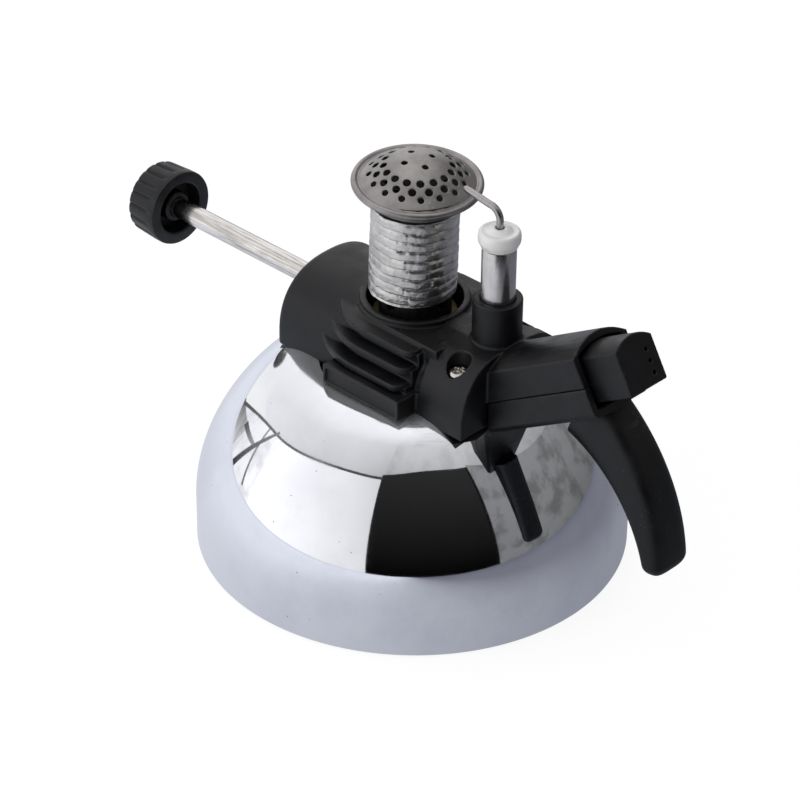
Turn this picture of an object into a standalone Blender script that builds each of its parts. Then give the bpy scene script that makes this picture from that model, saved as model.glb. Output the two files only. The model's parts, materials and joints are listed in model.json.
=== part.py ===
# Refillable table-top butane burner: chromed dome tank, black housing with a slanted igniter arm,
# perforated burner head, spark electrode and a gas knob on a long rod.
# Metres, +Z up. Origin under the middle of the tank, on the table.
# +X points to the igniter button, -X to the gas knob.
import math

import bmesh
import bpy
from mathutils import Vector

# Fits
SEAT = 0.0003                 # gap left between two pieces that touch
TURN_STEPS = 24               # sides of a small turned piece
DOME_STEPS = 44               # sides of the tank

# Tank
TANK_RADIUS = 0.0450
TANK_WALL = 0.0008
TANK_FOOT_GAP = 0.0004        # shell edge above the table
TANK_EDGE = 0.0008            # rounding of the shell edge
TANK_STRAIGHT = 0.0104        # height where the wall starts to curve in
TANK_CROWN = 0.0513           # height the wall curve would reach on the axis
TANK_ROUNDNESS = 1.8          # exponent of the wall curve
SHOULDER_TURN = math.radians(44.85)
SHOULDER_RADIUS = 0.0070
NECK_RADIUS = 0.0050
DOME_POINTS = 7

# Tank floor and fill valve
FOOT_INSET = 0.0040           # foot ring inside the tank's outer wall
FOOT_WIDTH = 0.0050
FOOT_HEIGHT = 0.0016
FLOOR_SHEET = 0.0010
FLOOR_RISE = 0.0040           # raised middle of the floor above its rim
FLOOR_SLOPE = 0.0070          # width of the slope up to the raised middle
FILL_RADIUS = 0.0040
FILL_FLANGE = 0.0062
FILL_FLANGE_HEIGHT = 0.0014
FILL_SEAL_HEIGHT = 0.0008
FILL_NOSE = 0.0026            # body below the floor sheet
FILL_CHAMBER_RADIUS = 0.0029
FILL_CHAMBER_HEIGHT = 0.0078
FILL_STEM_RADIUS = 0.0013
FILL_STEM_OUT = 0.0010        # stem below the body
FILL_HEAD_RADIUS = 0.0024
FILL_HEAD_HEIGHT = 0.0012
FILL_SPRING_TURNS = 4
FILL_SPRING_WIRE = 0.00036
RETAINER_HEIGHT = 0.0010

# Tank outlet
GASKET_HEIGHT = 0.0008
NECK_FLANGE_RADIUS = 0.0080
NECK_FLANGE_HEIGHT = 0.0020
NECK_DEPTH = 0.0060           # neck below the tank top
NECK_BORE = 0.0019
DIP_RADIUS = 0.0026
DIP_SOCKET = 0.0030           # depth of the tube in the neck
DIP_LENGTH = 0.0180

# Housing, heights above the tank top
BASE_SHEET = 0.0016
BASE_LIP = 0.0006             # base beyond the sides of the block
HOUSING_LEFT = -0.0250
HOUSING_RIGHT = 0.0270
BARREL_HALF = 0.0146
BARREL_SPRING_LINE = 0.0035
BARREL_TOP = 0.0177
BARREL_ROUNDNESS = 2.4
BARREL_BEVEL = 0.0012
HOUSING_WALL = 0.0018
CORE_RADIUS = 0.0116
PLATEAU = 0.0160
WELL_RADIUS = 0.0100
WELL_FLOOR = 0.0135
COLLAR_WALL = 0.0012
COLLAR_TOP = 0.0172
FIN_COUNT = 3
FIN_FIRST_RADIUS = 0.0150
FIN_RADIUS_STEP = 0.0018
FIN_FIRST_TOP = 0.0153
FIN_PITCH = 0.0032
FIN_THICK = 0.0014
FIN_GROOVE = 0.0019           # depth of the groove under a fin
FIN_END = 0.0130              # where the straight run of a fin stops
FIN_TAPER = 0.0022            # corner taken off the end of a fin
PANEL_WIDTH = 0.0036          # sloped panel between the fins and the block
PANEL_SINK = 0.0004           # panel below the face of the block
LUG_LEFT = -0.0062
LUG_RIGHT = 0.0146
LUG_FRONT = 0.0202
LUG_BOTTOM = 0.0024
LUG_TOP = 0.0070
LUG_BORDER = 0.0008
LUG_RECESS = 0.0005
BLOCK_LEFT = 0.0150
BLOCK_HALF = 0.0150
BLOCK_STRAIGHT = 0.0045
RIDGE_HEIGHT = 0.0164
BLOCK_TOP = 0.0171
BLOCK_CHANNEL = 0.0052        # half width of the channel for the lead
CHANNEL_TOP = 0.0146
SCREW_X = 0.0215
SCREW_Y = 0.0100
SCREW_HEAD_RADIUS = 0.0021
SCREW_HEAD_HEIGHT = 0.0013
SCREW_SHANK_RADIUS = 0.0012
SCREW_SEAT = 0.0118           # height of the ledge under the screw head
ROD_HEIGHT = 0.0089

# Arm, in its own slanted frame: along the arm, across, and square to it; its root lies on the seam
ARM_SLANT = math.radians(30.5)
ARM_ROOT_X = 0.0259
ARM_ROOT_HEIGHT = 0.0064      # root above the tank top
ARM_HALF = 0.0078
ARM_BOTTOM = -0.0065
ARM_SHOULDER = 0.0061
ARM_CROWN = 0.0028
ARM_LENGTH = 0.0300
ARM_WALL = 0.0016
ARM_EDGE = 0.0010
ARM_FOOT = 0.0006             # lowest point of the arm above the tank top
TONGUE_LENGTH = 0.0100
TONGUE_HEIGHT = 0.0010

# Igniter
BUTTON_HALF = 0.0052
BUTTON_BOTTOM = -0.0039
BUTTON_SHOULDER = 0.0053
BUTTON_CROWN = 0.0018
BUTTON_PROUD = 0.0090         # button beyond the end of the arm
BUTTON_LENGTH = 0.0145
BUTTON_TRAVEL = 0.0050
BUTTON_EDGE = 0.0006
BUTTON_POCKET = 0.0110
DIMPLE_COUNT = 3
DIMPLE_PITCH = 0.0024
DIMPLE_RADIUS = 0.0004
DIMPLE_DEPTH = 0.0004
PIEZO_AXIS = 0.0007
PIEZO_RADIUS = 0.0044
PIEZO_START = 0.0002
PIEZO_LENGTH = 0.0160
PLUNGER_RADIUS = 0.0028
PLUNGER_DEPTH = 0.0060        # plunger inside the piezo body
BUTTON_SPRING_TURNS = 3
BUTTON_SPRING_WIRE = 0.0006
LEAD_RADIUS = 0.0008

# Handle leg, a curved bar under the end of the arm
LEG_HALF = 0.0046
LEG_SET_BACK = 0.0078         # middle of the leg's root before the end of the arm
LEG_ROOT_THICK = 0.0086
LEG_TIP_THICK = 0.0062
LEG_TIP_X = 0.0672
LEG_DROP = 0.0137             # middle of the rounded tip below the tank top
LEG_BOW = 0.0028              # how far the leg bows out from a straight line
LEG_EDGE = 0.0022
LEG_POINTS = 12

# Gas valve and knob
VALVE_RADIUS = 0.0060
VALVE_SIDE_RADIUS = 0.0048
VALVE_SIDE_LENGTH = 0.0140
VALVE_TOP = 0.0136
VALVE_FLANGE_RADIUS = 0.0086
VALVE_FLANGE_HEIGHT = 0.0020
ROD_RADIUS = 0.0022
ROD_INNER_END = -0.0062
NEEDLE_LENGTH = 0.0036
NEEDLE_TIP = 0.0004
GLAND_RING_LENGTH = 0.0012
GLAND_LENGTH = 0.0040
GLAND_RADIUS = 0.0054
KNOB_FACE = -0.0692
KNOB_LENGTH = 0.0081
KNOB_RADIUS = 0.0083
KNOB_TAPER = 0.0003
KNOB_FLUTES = 18
KNOB_FLUTE_DEPTH = 0.00035
KNOB_BAND = 0.0012            # plain band beside the open face
KNOB_EDGE = 0.0007
KNOB_POCKET_RADIUS = 0.0055
KNOB_POCKET_DEPTH = 0.0050
KNOB_HUB_RADIUS = 0.0034
KNOB_HUB_SET_BACK = 0.0012
KNOB_SOCKET_DEPTH = 0.0062

# Burner, heights above the tank top
JET_RADIUS = 0.0024
JET_HEIGHT = 0.0040
TUBE_RADIUS = 0.0074
TUBE_WALL = 0.0006
TUBE_TOP = 0.0389
AIR_HOLE_RADIUS = 0.0013
SLEEVE_WALL = 0.0013          # sleeve over the mixing tube, at its ridges
SLEEVE_RIDGE = 0.0005
SLEEVE_RIDGES = 7
SLEEVE_BOTTOM = 0.0192
SLEEVE_GAP = 0.0006
CUP_THICK = 0.0006
CUP_DEPTH = 0.0030
CUP_COLLAR = 0.0016
CAP_RADIUS = 0.0132
CAP_RIM = 0.0007              # radius of the rolled rim
CAP_WALL = 0.0005
CAP_CONE_TOP_RADIUS = 0.0070
CAP_CONE_RISE = 0.0032
CAP_CROWN_RISE = 0.0017
CAP_HOLE_SIDES = 6
CAP_TURN = math.radians(3.0)
CAP_MIDDLE_HOLES = 4
CAP_MIDDLE_RING = 0.0031
CAP_RING_HOLES = 16
CAP_RINGS = (0.0069, 0.0085, 0.0097)
CAP_HOLE_RADII = (0.0007, 0.0007, 0.00055)
GAUZE_SHEET = 0.0004
GAUZE_HOLES = 8
GAUZE_HOLE_RADIUS = 0.0009

# Electrode
ELECTRODE_X = 0.0222
BOSS_RADIUS = 0.0052
BOSS_TOP = 0.0261
ELECTRODE_TUBE_RADIUS = 0.0035
ELECTRODE_TUBE_WALL = 0.0007
ELECTRODE_TUBE_BOTTOM = 0.0170
ELECTRODE_TUBE_TOP = 0.0374
INSULATOR_RADIUS = 0.0043
INSULATOR_TOP = 0.0412
INSULATOR_COLLAR = 0.0018
INSULATOR_CUP = 0.0008
INSULATOR_BOTTOM = 0.0200
INSULATOR_POST = 0.0009       # post around the wire above the rim
INSULATOR_POST_WALL = 0.0006
INSULATOR_POST_FOOT = 0.0026
WIRE_RADIUS = 0.0007
WIRE_BOTTOM = 0.0260
WIRE_BEND = 0.0020
WIRE_TIP_X = 0.0127
WIRE_RISE = 0.0037            # bent end at its corner above the insulator's post
WIRE_TIP_RISE = 0.0010


def shoulder():
    """Corner points and top height of the tank's outer curve."""
    power = 2.0 / TANK_ROUNDNESS
    points = []
    for step in range(DOME_POINTS + 1):
        turn = SHOULDER_TURN * (1.0 - step / DOME_POINTS)
        radius = TANK_RADIUS * math.cos(turn) ** power
        height = TANK_STRAIGHT + (TANK_CROWN - TANK_STRAIGHT) * math.sin(turn) ** power
        points.append((radius, height))
    run = points[1][0] - points[0][0]
    drop = points[0][1] - points[1][1]
    slope = math.atan2(drop, run)
    centre_r = points[0][0] - SHOULDER_RADIUS * math.sin(slope)
    centre_z = points[0][1] - SHOULDER_RADIUS * math.cos(slope)
    crest = []
    for step in range(5):
        turn = slope * step / 5
        across = SHOULDER_RADIUS * math.sin(turn)
        crest.append((centre_r + across, centre_z + SHOULDER_RADIUS * math.cos(turn)))
    return crest + points, centre_z + SHOULDER_RADIUS


CURVE, DECK = shoulder()

# Heights worked out from the tank top
BASE_BOTTOM = DECK + SEAT
BASE_TOP = BASE_BOTTOM + BASE_SHEET
COVER_BOTTOM = BASE_TOP + SEAT
ROD_Z = DECK + ROD_HEIGHT
NECK_FLANGE_BOTTOM = DECK + 2 * SEAT + GASKET_HEIGHT
VALVE_BOTTOM = NECK_FLANGE_BOTTOM + NECK_FLANGE_HEIGHT + SEAT
CAP_RIM_Z = DECK + TUBE_TOP + SEAT + CUP_DEPTH + CAP_RIM
FOOT_INNER = TANK_RADIUS - FOOT_INSET - FOOT_WIDTH
FLOOR_BOTTOM = FOOT_HEIGHT + SEAT
FLOOR_TOP = FLOOR_BOTTOM + FLOOR_RISE + FLOOR_SHEET
FILL_SHOULDER = FLOOR_TOP + 2 * SEAT + FILL_SEAL_HEIGHT + FILL_FLANGE_HEIGHT

# Places along the arm
BUTTON_END = ARM_LENGTH + BUTTON_PROUD
BUTTON_START = BUTTON_END - BUTTON_LENGTH
LEG_ROOT = ARM_LENGTH - LEG_SET_BACK


def clear_scene():
    for item in list(bpy.data.objects):
        bpy.data.objects.remove(item, do_unlink=True)


clear_scene()
parts = bpy.data.collections.new("table_top_burner")
cutters = bpy.data.collections.new("cutters")
bpy.context.scene.collection.children.link(parts)
bpy.context.scene.collection.children.link(cutters)


def make_material(name, colour, roughness, metallic):
    material = bpy.data.materials.new(name)
    material.use_nodes = True
    shader = material.node_tree.nodes["Principled BSDF"]
    shader.inputs["Base Color"].default_value = (*colour, 1.0)
    shader.inputs["Roughness"].default_value = roughness
    shader.inputs["Metallic"].default_value = metallic
    return material


CHROME = make_material("chrome", (0.80, 0.81, 0.83), 0.05, 1.0)
BLACK_PLASTIC = make_material("black_plastic", (0.022, 0.022, 0.024), 0.45, 0.0)
STEEL = make_material("steel", (0.62, 0.60, 0.57), 0.28, 1.0)
SATIN_STEEL = make_material("satin_steel", (0.50, 0.48, 0.46), 0.42, 1.0)
SLEEVE_METAL = make_material("sleeve_metal", (0.74, 0.73, 0.70), 0.30, 1.0)
BRASS = make_material("brass", (0.72, 0.53, 0.24), 0.32, 1.0)
CERAMIC = make_material("ceramic", (0.86, 0.85, 0.83), 0.35, 0.0)
RUBBER = make_material("rubber", (0.03, 0.03, 0.03), 0.80, 0.0)
FIBRE = make_material("wick_fibre", (0.82, 0.79, 0.70), 0.90, 0.0)
LEAD_SLEEVE = make_material("lead_sleeve", (0.10, 0.10, 0.11), 0.60, 0.0)


def add_part(name, data, material, parent=None):
    item = bpy.data.objects.new(name, data)
    data.materials.append(material)
    item.parent = parent
    parts.objects.link(item)
    return item


def add_cutter(name, data, parent=None):
    item = bpy.data.objects.new(name, data)
    item.parent = parent
    item.hide_render = True
    item.display_type = "WIRE"
    cutters.objects.link(item)
    return item


def profile_mesh(name, points, closed):
    mesh = bpy.data.meshes.new(name)
    work = bmesh.new()
    verts = [work.verts.new((radius, 0.0, height)) for radius, height in points]
    for first, second in zip(verts, verts[1:]):
        work.edges.new((first, second))
    if closed:
        work.edges.new((verts[-1], verts[0]))
    work.to_mesh(mesh)
    work.free()
    return mesh


def turn(item, steps):
    """Spin the profile of an object about its own Z axis."""
    screw = item.modifiers.new("turned", "SCREW")
    screw.axis = "Z"
    screw.steps = steps
    screw.render_steps = steps
    screw.use_merge_vertices = True
    screw.merge_threshold = 0.00001
    screw.use_normal_calculate = False
    screw.use_smooth_shade = True


def turned_part(name, points, material, closed=True, steps=TURN_STEPS, parent=None):
    """Profile points run down the outer side, then back up the inner side."""
    item = add_part(name, profile_mesh(name, points, closed), material, parent)
    turn(item, steps)
    return item


def turned_cutter(name, points):
    item = add_cutter(name, profile_mesh(name, points, True))
    turn(item, TURN_STEPS)
    return item


def drum_mesh(name, radius, bottom, top, steps):
    """A plain cylinder about its own Z axis."""
    mesh = bpy.data.meshes.new(name)
    work = bmesh.new()
    bmesh.ops.create_cone(work, cap_ends=True, segments=steps, radius1=radius, radius2=radius,
                          depth=top - bottom)
    bmesh.ops.translate(work, vec=(0.0, 0.0, (bottom + top) / 2.0), verts=work.verts)
    work.to_mesh(mesh)
    work.free()
    mesh.shade_smooth()
    mesh.set_sharp_from_angle(angle=math.radians(40))
    return mesh


def drum_part(name, radius, bottom, top, material, steps=TURN_STEPS, parent=None):
    return add_part(name, drum_mesh(name, radius, bottom, top, steps), material, parent)


def drum_cutter(name, radius, bottom, top, steps=TURN_STEPS, parent=None):
    return add_cutter(name, drum_mesh(name, radius, bottom, top, steps), parent)


def ring_profile(outer, inner, bottom, top):
    return [(outer, top), (outer, bottom), (inner, bottom), (inner, top)]


def arc_points(centre, radius, start, end, count):
    points = []
    for step in range(count + 1):
        angle = start + (end - start) * step / count
        points.append((centre[0] + radius * math.cos(angle), centre[1] + radius * math.sin(angle)))
    return points


def settled_mesh(curve_item, name):
    """The evaluated shape of a curve object as a welded mesh."""
    bpy.context.scene.collection.objects.link(curve_item)
    graph = bpy.context.evaluated_depsgraph_get()
    mesh = bpy.data.meshes.new_from_object(curve_item.evaluated_get(graph))
    mesh.name = name
    bpy.data.objects.remove(curve_item, do_unlink=True)
    work = bmesh.new()
    work.from_mesh(mesh)
    bmesh.ops.remove_doubles(work, verts=work.verts, dist=0.000001)
    bmesh.ops.dissolve_limit(work, angle_limit=0.001, verts=work.verts, edges=work.edges)
    bmesh.ops.recalc_face_normals(work, faces=work.faces)
    work.to_mesh(mesh)
    work.free()
    return mesh


def slab_mesh(name, outline, depth):
    """A flat closed outline given a thickness, centred on its own plane."""
    curve = bpy.data.curves.new(name, "CURVE")
    curve.dimensions = "2D"
    curve.fill_mode = "BOTH"
    curve.extrude = depth / 2.0
    spline = curve.splines.new("POLY")
    spline.points.add(len(outline) - 1)
    for point, place in zip(spline.points, outline):
        point.co = (place[0], place[1], 0.0, 1.0)
    spline.use_cyclic_u = True
    return settled_mesh(bpy.data.objects.new(name, curve), name)


def wire_curve(name, points, radius, resolution=2):
    curve = bpy.data.curves.new(name, "CURVE")
    curve.dimensions = "3D"
    curve.bevel_depth = radius
    curve.bevel_resolution = resolution
    curve.use_fill_caps = True
    spline = curve.splines.new("POLY")
    spline.points.add(len(points) - 1)
    for point, place in zip(spline.points, points):
        point.co = (*place, 1.0)
    return curve


def face_along_x(item, start, end):
    """Lay a slab so that its outline is (y, z) and its depth runs along X."""
    item.rotation_euler = (math.pi / 2, 0.0, math.pi / 2)
    item.location = ((start + end) / 2.0, 0.0, 0.0)


def face_along_y(item, middle):
    """Lay a slab so that its outline is (x, z) and its depth runs along Y."""
    item.rotation_euler = (math.pi / 2, 0.0, 0.0)
    item.location = (0.0, middle, 0.0)


def combine(item, other, operation):
    change = item.modifiers.new(other.name, "BOOLEAN")
    change.operation = operation
    change.object = other
    change.solver = "EXACT"


def cut(item, other):
    combine(item, other, "DIFFERENCE")


def join(item, other):
    combine(item, other, "UNION")


def round_edges(item, width, segments=2, angle=40):
    bevel = item.modifiers.new("rounded", "BEVEL")
    bevel.width = width
    bevel.segments = segments
    bevel.limit_method = "ANGLE"
    bevel.angle_limit = math.radians(angle)


def section_x(name, outline, start, end, parent=None):
    item = add_cutter(name, slab_mesh(name, outline, end - start), parent)
    face_along_x(item, start, end)
    return item


def plan_slab(name, outline, bottom, top):
    item = add_cutter(name, slab_mesh(name, outline, top - bottom))
    item.location = (0.0, 0.0, (bottom + top) / 2.0)
    return item


def box_cutter(name, low, high, parent=None):
    mesh = bpy.data.meshes.new(name)
    work = bmesh.new()
    bmesh.ops.create_cube(work, size=1.0)
    size = Vector(high) - Vector(low)
    bmesh.ops.scale(work, vec=size, verts=work.verts)
    work.to_mesh(mesh)
    work.free()
    item = add_cutter(name, mesh, parent)
    item.location = (Vector(high) + Vector(low)) / 2.0
    return item


def helix(radius, start, end, turns, steps=10):
    points = []
    for step in range(turns * steps + 1):
        angle = 2 * math.pi * step / steps
        height = start + (end - start) * step / (turns * steps)
        points.append((radius * math.cos(angle), radius * math.sin(angle), height))
    return points


def offset_inward(points, distance):
    """Move each profile point square to the profile, towards the axis."""
    moved = []
    for index, point in enumerate(points):
        before = points[max(index - 1, 0)]
        after = points[min(index + 1, len(points) - 1)]
        run = Vector((after[0] - before[0], after[1] - before[1])).normalized()
        moved.append((point[0] + run.y * distance, point[1] - run.x * distance))
    return moved


def make_tank():
    outer = [(NECK_RADIUS + SEAT, DECK)] + CURVE
    outer += [(TANK_RADIUS, TANK_FOOT_GAP + TANK_EDGE)]
    inner = offset_inward(outer, TANK_WALL)
    outer += [(TANK_RADIUS - TANK_EDGE, TANK_FOOT_GAP)]
    inner[0] = (NECK_RADIUS + SEAT, DECK - TANK_WALL)
    turned_part("tank_shell", outer + inner[::-1], CHROME, steps=DOME_STEPS)


def make_floor():
    rim = TANK_RADIUS - TANK_WALL - SEAT
    slope_end = FOOT_INNER - FOOT_WIDTH
    middle = slope_end - FLOOR_SLOPE
    hole = FILL_RADIUS + SEAT
    raised = FLOOR_BOTTOM + FLOOR_RISE
    points = [(hole, raised + FLOOR_SHEET), (middle, raised + FLOOR_SHEET)]
    points += [(slope_end, FLOOR_BOTTOM + FLOOR_SHEET), (rim, FLOOR_BOTTOM + FLOOR_SHEET)]
    points += [(rim, FLOOR_BOTTOM), (slope_end, FLOOR_BOTTOM), (middle, raised), (hole, raised)]
    turned_part("base_plate", points, STEEL, steps=DOME_STEPS)
    turned_part("foot_ring", ring_profile(FOOT_INNER + FOOT_WIDTH, FOOT_INNER, 0.0, FOOT_HEIGHT), RUBBER,
                steps=DOME_STEPS)


def make_fill_valve():
    floor_low = FLOOR_TOP - FLOOR_SHEET
    nose = floor_low - FILL_NOSE
    seal_low = FLOOR_TOP + SEAT
    flange_low = seal_low + FILL_SEAL_HEIGHT + SEAT
    top = FILL_SHOULDER + FILL_CHAMBER_HEIGHT
    bore = FILL_STEM_RADIUS + SEAT
    points = [(FILL_RADIUS, top), (FILL_RADIUS, FILL_SHOULDER), (FILL_FLANGE, FILL_SHOULDER)]
    points += [(FILL_FLANGE, flange_low), (FILL_RADIUS, flange_low), (FILL_RADIUS, nose)]
    points += [(bore, nose), (bore, flange_low)]
    points += [(FILL_CHAMBER_RADIUS, flange_low), (FILL_CHAMBER_RADIUS, top)]
    turned_part("fill_valve_body", points, BRASS)
    turned_part("fill_valve_seal", ring_profile(FILL_FLANGE, FILL_RADIUS + SEAT, seal_low,
                                                seal_low + FILL_SEAL_HEIGHT), RUBBER)
    head_low = flange_low + SEAT
    head_top = head_low + FILL_HEAD_HEIGHT
    stem_low = nose - FILL_STEM_OUT
    points = [(0.0, head_top), (FILL_HEAD_RADIUS, head_top), (FILL_HEAD_RADIUS, head_low)]
    points += [(FILL_STEM_RADIUS, head_low), (FILL_STEM_RADIUS, stem_low), (0.0, stem_low)]
    turned_part("fill_valve_stem", points, BRASS, closed=False)
    retainer_low = top - RETAINER_HEIGHT
    retainer = ring_profile(FILL_CHAMBER_RADIUS - SEAT, FILL_STEM_RADIUS, retainer_low, top)
    turned_part("fill_valve_retainer", retainer, BRASS)
    inset = FILL_SPRING_WIRE + SEAT
    coil = helix(FILL_CHAMBER_RADIUS - 2 * inset, head_top + inset, retainer_low - inset,
                 FILL_SPRING_TURNS)
    add_part("fill_valve_spring", wire_curve("fill_valve_spring", coil, FILL_SPRING_WIRE), STEEL)


def make_outlet():
    gasket_low = DECK + SEAT
    turned_part("neck_gasket", ring_profile(NECK_FLANGE_RADIUS, NECK_RADIUS + SEAT, gasket_low,
                                            gasket_low + GASKET_HEIGHT), RUBBER)
    top = NECK_FLANGE_BOTTOM + NECK_FLANGE_HEIGHT
    bottom = DECK - NECK_DEPTH
    socket = DIP_RADIUS + SEAT
    points = [(NECK_FLANGE_RADIUS, top), (NECK_FLANGE_RADIUS, NECK_FLANGE_BOTTOM)]
    points += [(NECK_RADIUS, NECK_FLANGE_BOTTOM), (NECK_RADIUS, bottom), (socket, bottom)]
    points += [(socket, bottom + DIP_SOCKET), (NECK_BORE, bottom + DIP_SOCKET), (NECK_BORE, top)]
    turned_part("tank_neck", points, BRASS)
    tube_top = bottom + DIP_SOCKET - SEAT
    turned_part("dip_tube", ring_profile(DIP_RADIUS, NECK_BORE, tube_top - DIP_LENGTH, tube_top), BRASS)
    drum_part("wick", NECK_BORE - SEAT, tube_top - DIP_LENGTH, top, FIBRE)


def arch_outline(half, low, spring, top, roundness, count=9):
    """Straight sides up to the spring line, then a squarish arch."""
    power = 2.0 / roundness
    points = [(-half, low)]
    for step in range(2 * count + 1):
        angle = math.pi - math.pi * step / (2 * count)
        across = math.copysign(abs(math.cos(angle)) ** power, math.cos(angle))
        points.append((half * across, spring + (top - spring) * math.sin(angle) ** power))
    points.append((half, low))
    return points


def stadium_outline(radius, end, taper=0.0):
    """Half round towards -X about the burner axis, straight sides to +X with the corners taken off."""
    points = arc_points((0.0, 0.0), radius, math.pi / 2, 3 * math.pi / 2, 16)
    if taper:
        points += [(end - taper, -radius), (end, taper - radius)]
        return points + [(end, radius - taper), (end - taper, radius)]
    return points + [(end, -radius), (end, radius)]


def block_outline(low):
    """Upright sides that round over to the two ridges, slightly crowned top between them."""
    ridge = DECK + RIDGE_HEIGHT
    start = DECK + BLOCK_STRAIGHT
    side = []
    for step in range(7):
        angle = math.radians(75) * step / 6
        share = math.sin(angle) / math.sin(math.radians(75))
        inset = (1.0 - math.cos(angle)) / (1.0 - math.cos(math.radians(75)))
        side.append((BLOCK_HALF - (BLOCK_HALF - ARM_HALF) * inset, start + (ridge - start) * share))
    right = [(BLOCK_HALF, low)] + side + [(ARM_HALF / 2, DECK + BLOCK_TOP)]
    left = [(-across, height) for across, height in reversed(right)]
    return right + left


def hood_outline(half, low, shoulder_height, crown):
    """Flat bottom, upright sides and a crowned top."""
    points = [(-half, low), (half, low), (half, shoulder_height)]
    for share in (0.6, 0.25, -0.25, -0.6):
        points.append((half * share, shoulder_height + crown * (1.0 - share * share)))
    return points + [(-half, shoulder_height)]


def make_cover(arm):
    """Top half of the housing with the well, fins, lugs, boss and upper arm."""
    spring = DECK + BARREL_SPRING_LINE
    section = arch_outline(BARREL_HALF, DECK, spring, DECK + BARREL_TOP, BARREL_ROUNDNESS)
    cover = add_part("housing_cover", slab_mesh("housing_cover", section, -HOUSING_LEFT), BLACK_PLASTIC)
    face_along_x(cover, HOUSING_LEFT, 0.0)
    round_edges(cover, BARREL_BEVEL, angle=60)
    below = DECK - SEAT
    core = stadium_outline(CORE_RADIUS, BLOCK_LEFT + HOUSING_WALL)
    join(cover, plan_slab("core", core, below, DECK + PLATEAU))
    for number in range(FIN_COUNT):
        radius = FIN_FIRST_RADIUS + number * FIN_RADIUS_STEP
        top = DECK + FIN_FIRST_TOP - number * FIN_PITCH
        below -= SEAT
        root = stadium_outline(radius - FIN_GROOVE, FIN_END + SEAT * (number + 1))
        join(cover, plan_slab(f"fin_root_{number}", root, below, top - FIN_THICK / 2))
        edge = stadium_outline(radius, FIN_END - SEAT * number, FIN_TAPER)
        join(cover, plan_slab(f"fin_{number}", edge, top - FIN_THICK, top))
    lug_low = (LUG_LEFT, -LUG_FRONT, DECK + LUG_BOTTOM)
    join(cover, box_cutter("lug", lug_low, (LUG_RIGHT, LUG_FRONT, DECK + LUG_TOP)))
    below -= SEAT
    panel = [(across - math.copysign(PANEL_SINK, across), height - PANEL_SINK)
             for across, height in block_outline(below)]
    join(cover, section_x("panel", panel, BLOCK_LEFT - PANEL_WIDTH, BLOCK_LEFT + SEAT))
    join(cover, section_x("block", block_outline(below - SEAT), BLOCK_LEFT, HOUSING_RIGHT))
    upper = hood_outline(ARM_HALF, 0.0, ARM_SHOULDER, ARM_CROWN)
    join(cover, section_x("upper_arm", upper, 0.0, ARM_LENGTH, arm))
    join(cover, drum_cutter("collar", WELL_RADIUS + COLLAR_WALL, DECK + WELL_FLOOR, DECK + COLLAR_TOP))
    boss = drum_cutter("boss", BOSS_RADIUS, DECK + CHANNEL_TOP + SEAT, DECK + BOSS_TOP)
    boss.location.x = ELECTRODE_X
    join(cover, boss)
    reach = BLOCK_HALF + LUG_FRONT
    foot_low = (HOUSING_LEFT - reach, -reach, 0.0)
    cut(cover, box_cutter("cover_foot", foot_low, (HOUSING_RIGHT + reach, reach, COVER_BOTTOM)))
    cut_cover(cover, arm)


def cut_cover(cover, arm):
    """Well, inner chambers, arm cavity, and the holes for rod, electrode and screws."""
    below = COVER_BOTTOM - SEAT
    mouth = DECK + max(COLLAR_TOP, BARREL_TOP) + SEAT
    cut(cover, drum_cutter("well", WELL_RADIUS, below, mouth))
    inner = arch_outline(BARREL_HALF - HOUSING_WALL, below, DECK + BARREL_SPRING_LINE,
                         DECK + BARREL_TOP - HOUSING_WALL, BARREL_ROUNDNESS)
    cut(cover, section_x("barrel_chamber", inner, HOUSING_LEFT + HOUSING_WALL, -WELL_RADIUS / 2))
    channel_low = (0.0, -BLOCK_CHANNEL, below)
    channel_high = (HOUSING_RIGHT + SEAT, BLOCK_CHANNEL, DECK + CHANNEL_TOP)
    cut(cover, box_cutter("channel", channel_low, channel_high))
    cavity = hood_outline(ARM_HALF - ARM_WALL, ARM_BOTTOM + ARM_WALL, ARM_SHOULDER, ARM_CROWN - ARM_WALL)
    cut(cover, section_x("arm_cavity", cavity, -ARM_WALL, ARM_LENGTH + SEAT, arm))
    bore = ELECTRODE_TUBE_RADIUS + SEAT
    electrode = drum_cutter("electrode_bore", bore, DECK + CHANNEL_TOP - SEAT, DECK + BOSS_TOP + SEAT)
    electrode.location.x = ELECTRODE_X
    cut(cover, electrode)
    passage = drum_cutter("rod_hole", ROD_RADIUS + SEAT, 0.0, 2 * HOUSING_WALL)
    passage.rotation_euler = (0.0, math.pi / 2, 0.0)
    passage.location = (HOUSING_LEFT - HOUSING_WALL / 2, 0.0, ROD_Z)
    cut(cover, passage)
    for side, label in ((-1, "front"), (1, "rear")):
        head = (SCREW_HEAD_RADIUS + SEAT, DECK + SCREW_SEAT, DECK + BLOCK_TOP + SEAT)
        shank = (SCREW_SHANK_RADIUS + SEAT, below, DECK + SCREW_SEAT + SEAT)
        for part, size in (("head", head), ("shank", shank)):
            hole = drum_cutter(f"screw_{part}_hole_{label}", *size, steps=20)
            hole.location = (SCREW_X, side * SCREW_Y, 0.0)
            cut(cover, hole)
        middle = side * LUG_FRONT
        panel_low = (LUG_LEFT + LUG_BORDER, middle - LUG_RECESS, DECK + LUG_BOTTOM + LUG_BORDER)
        panel_high = (LUG_RIGHT - LUG_BORDER, middle + LUG_RECESS, DECK + LUG_TOP - LUG_BORDER)
        cut(cover, box_cutter(f"lug_panel_{label}", panel_low, panel_high))


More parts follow.
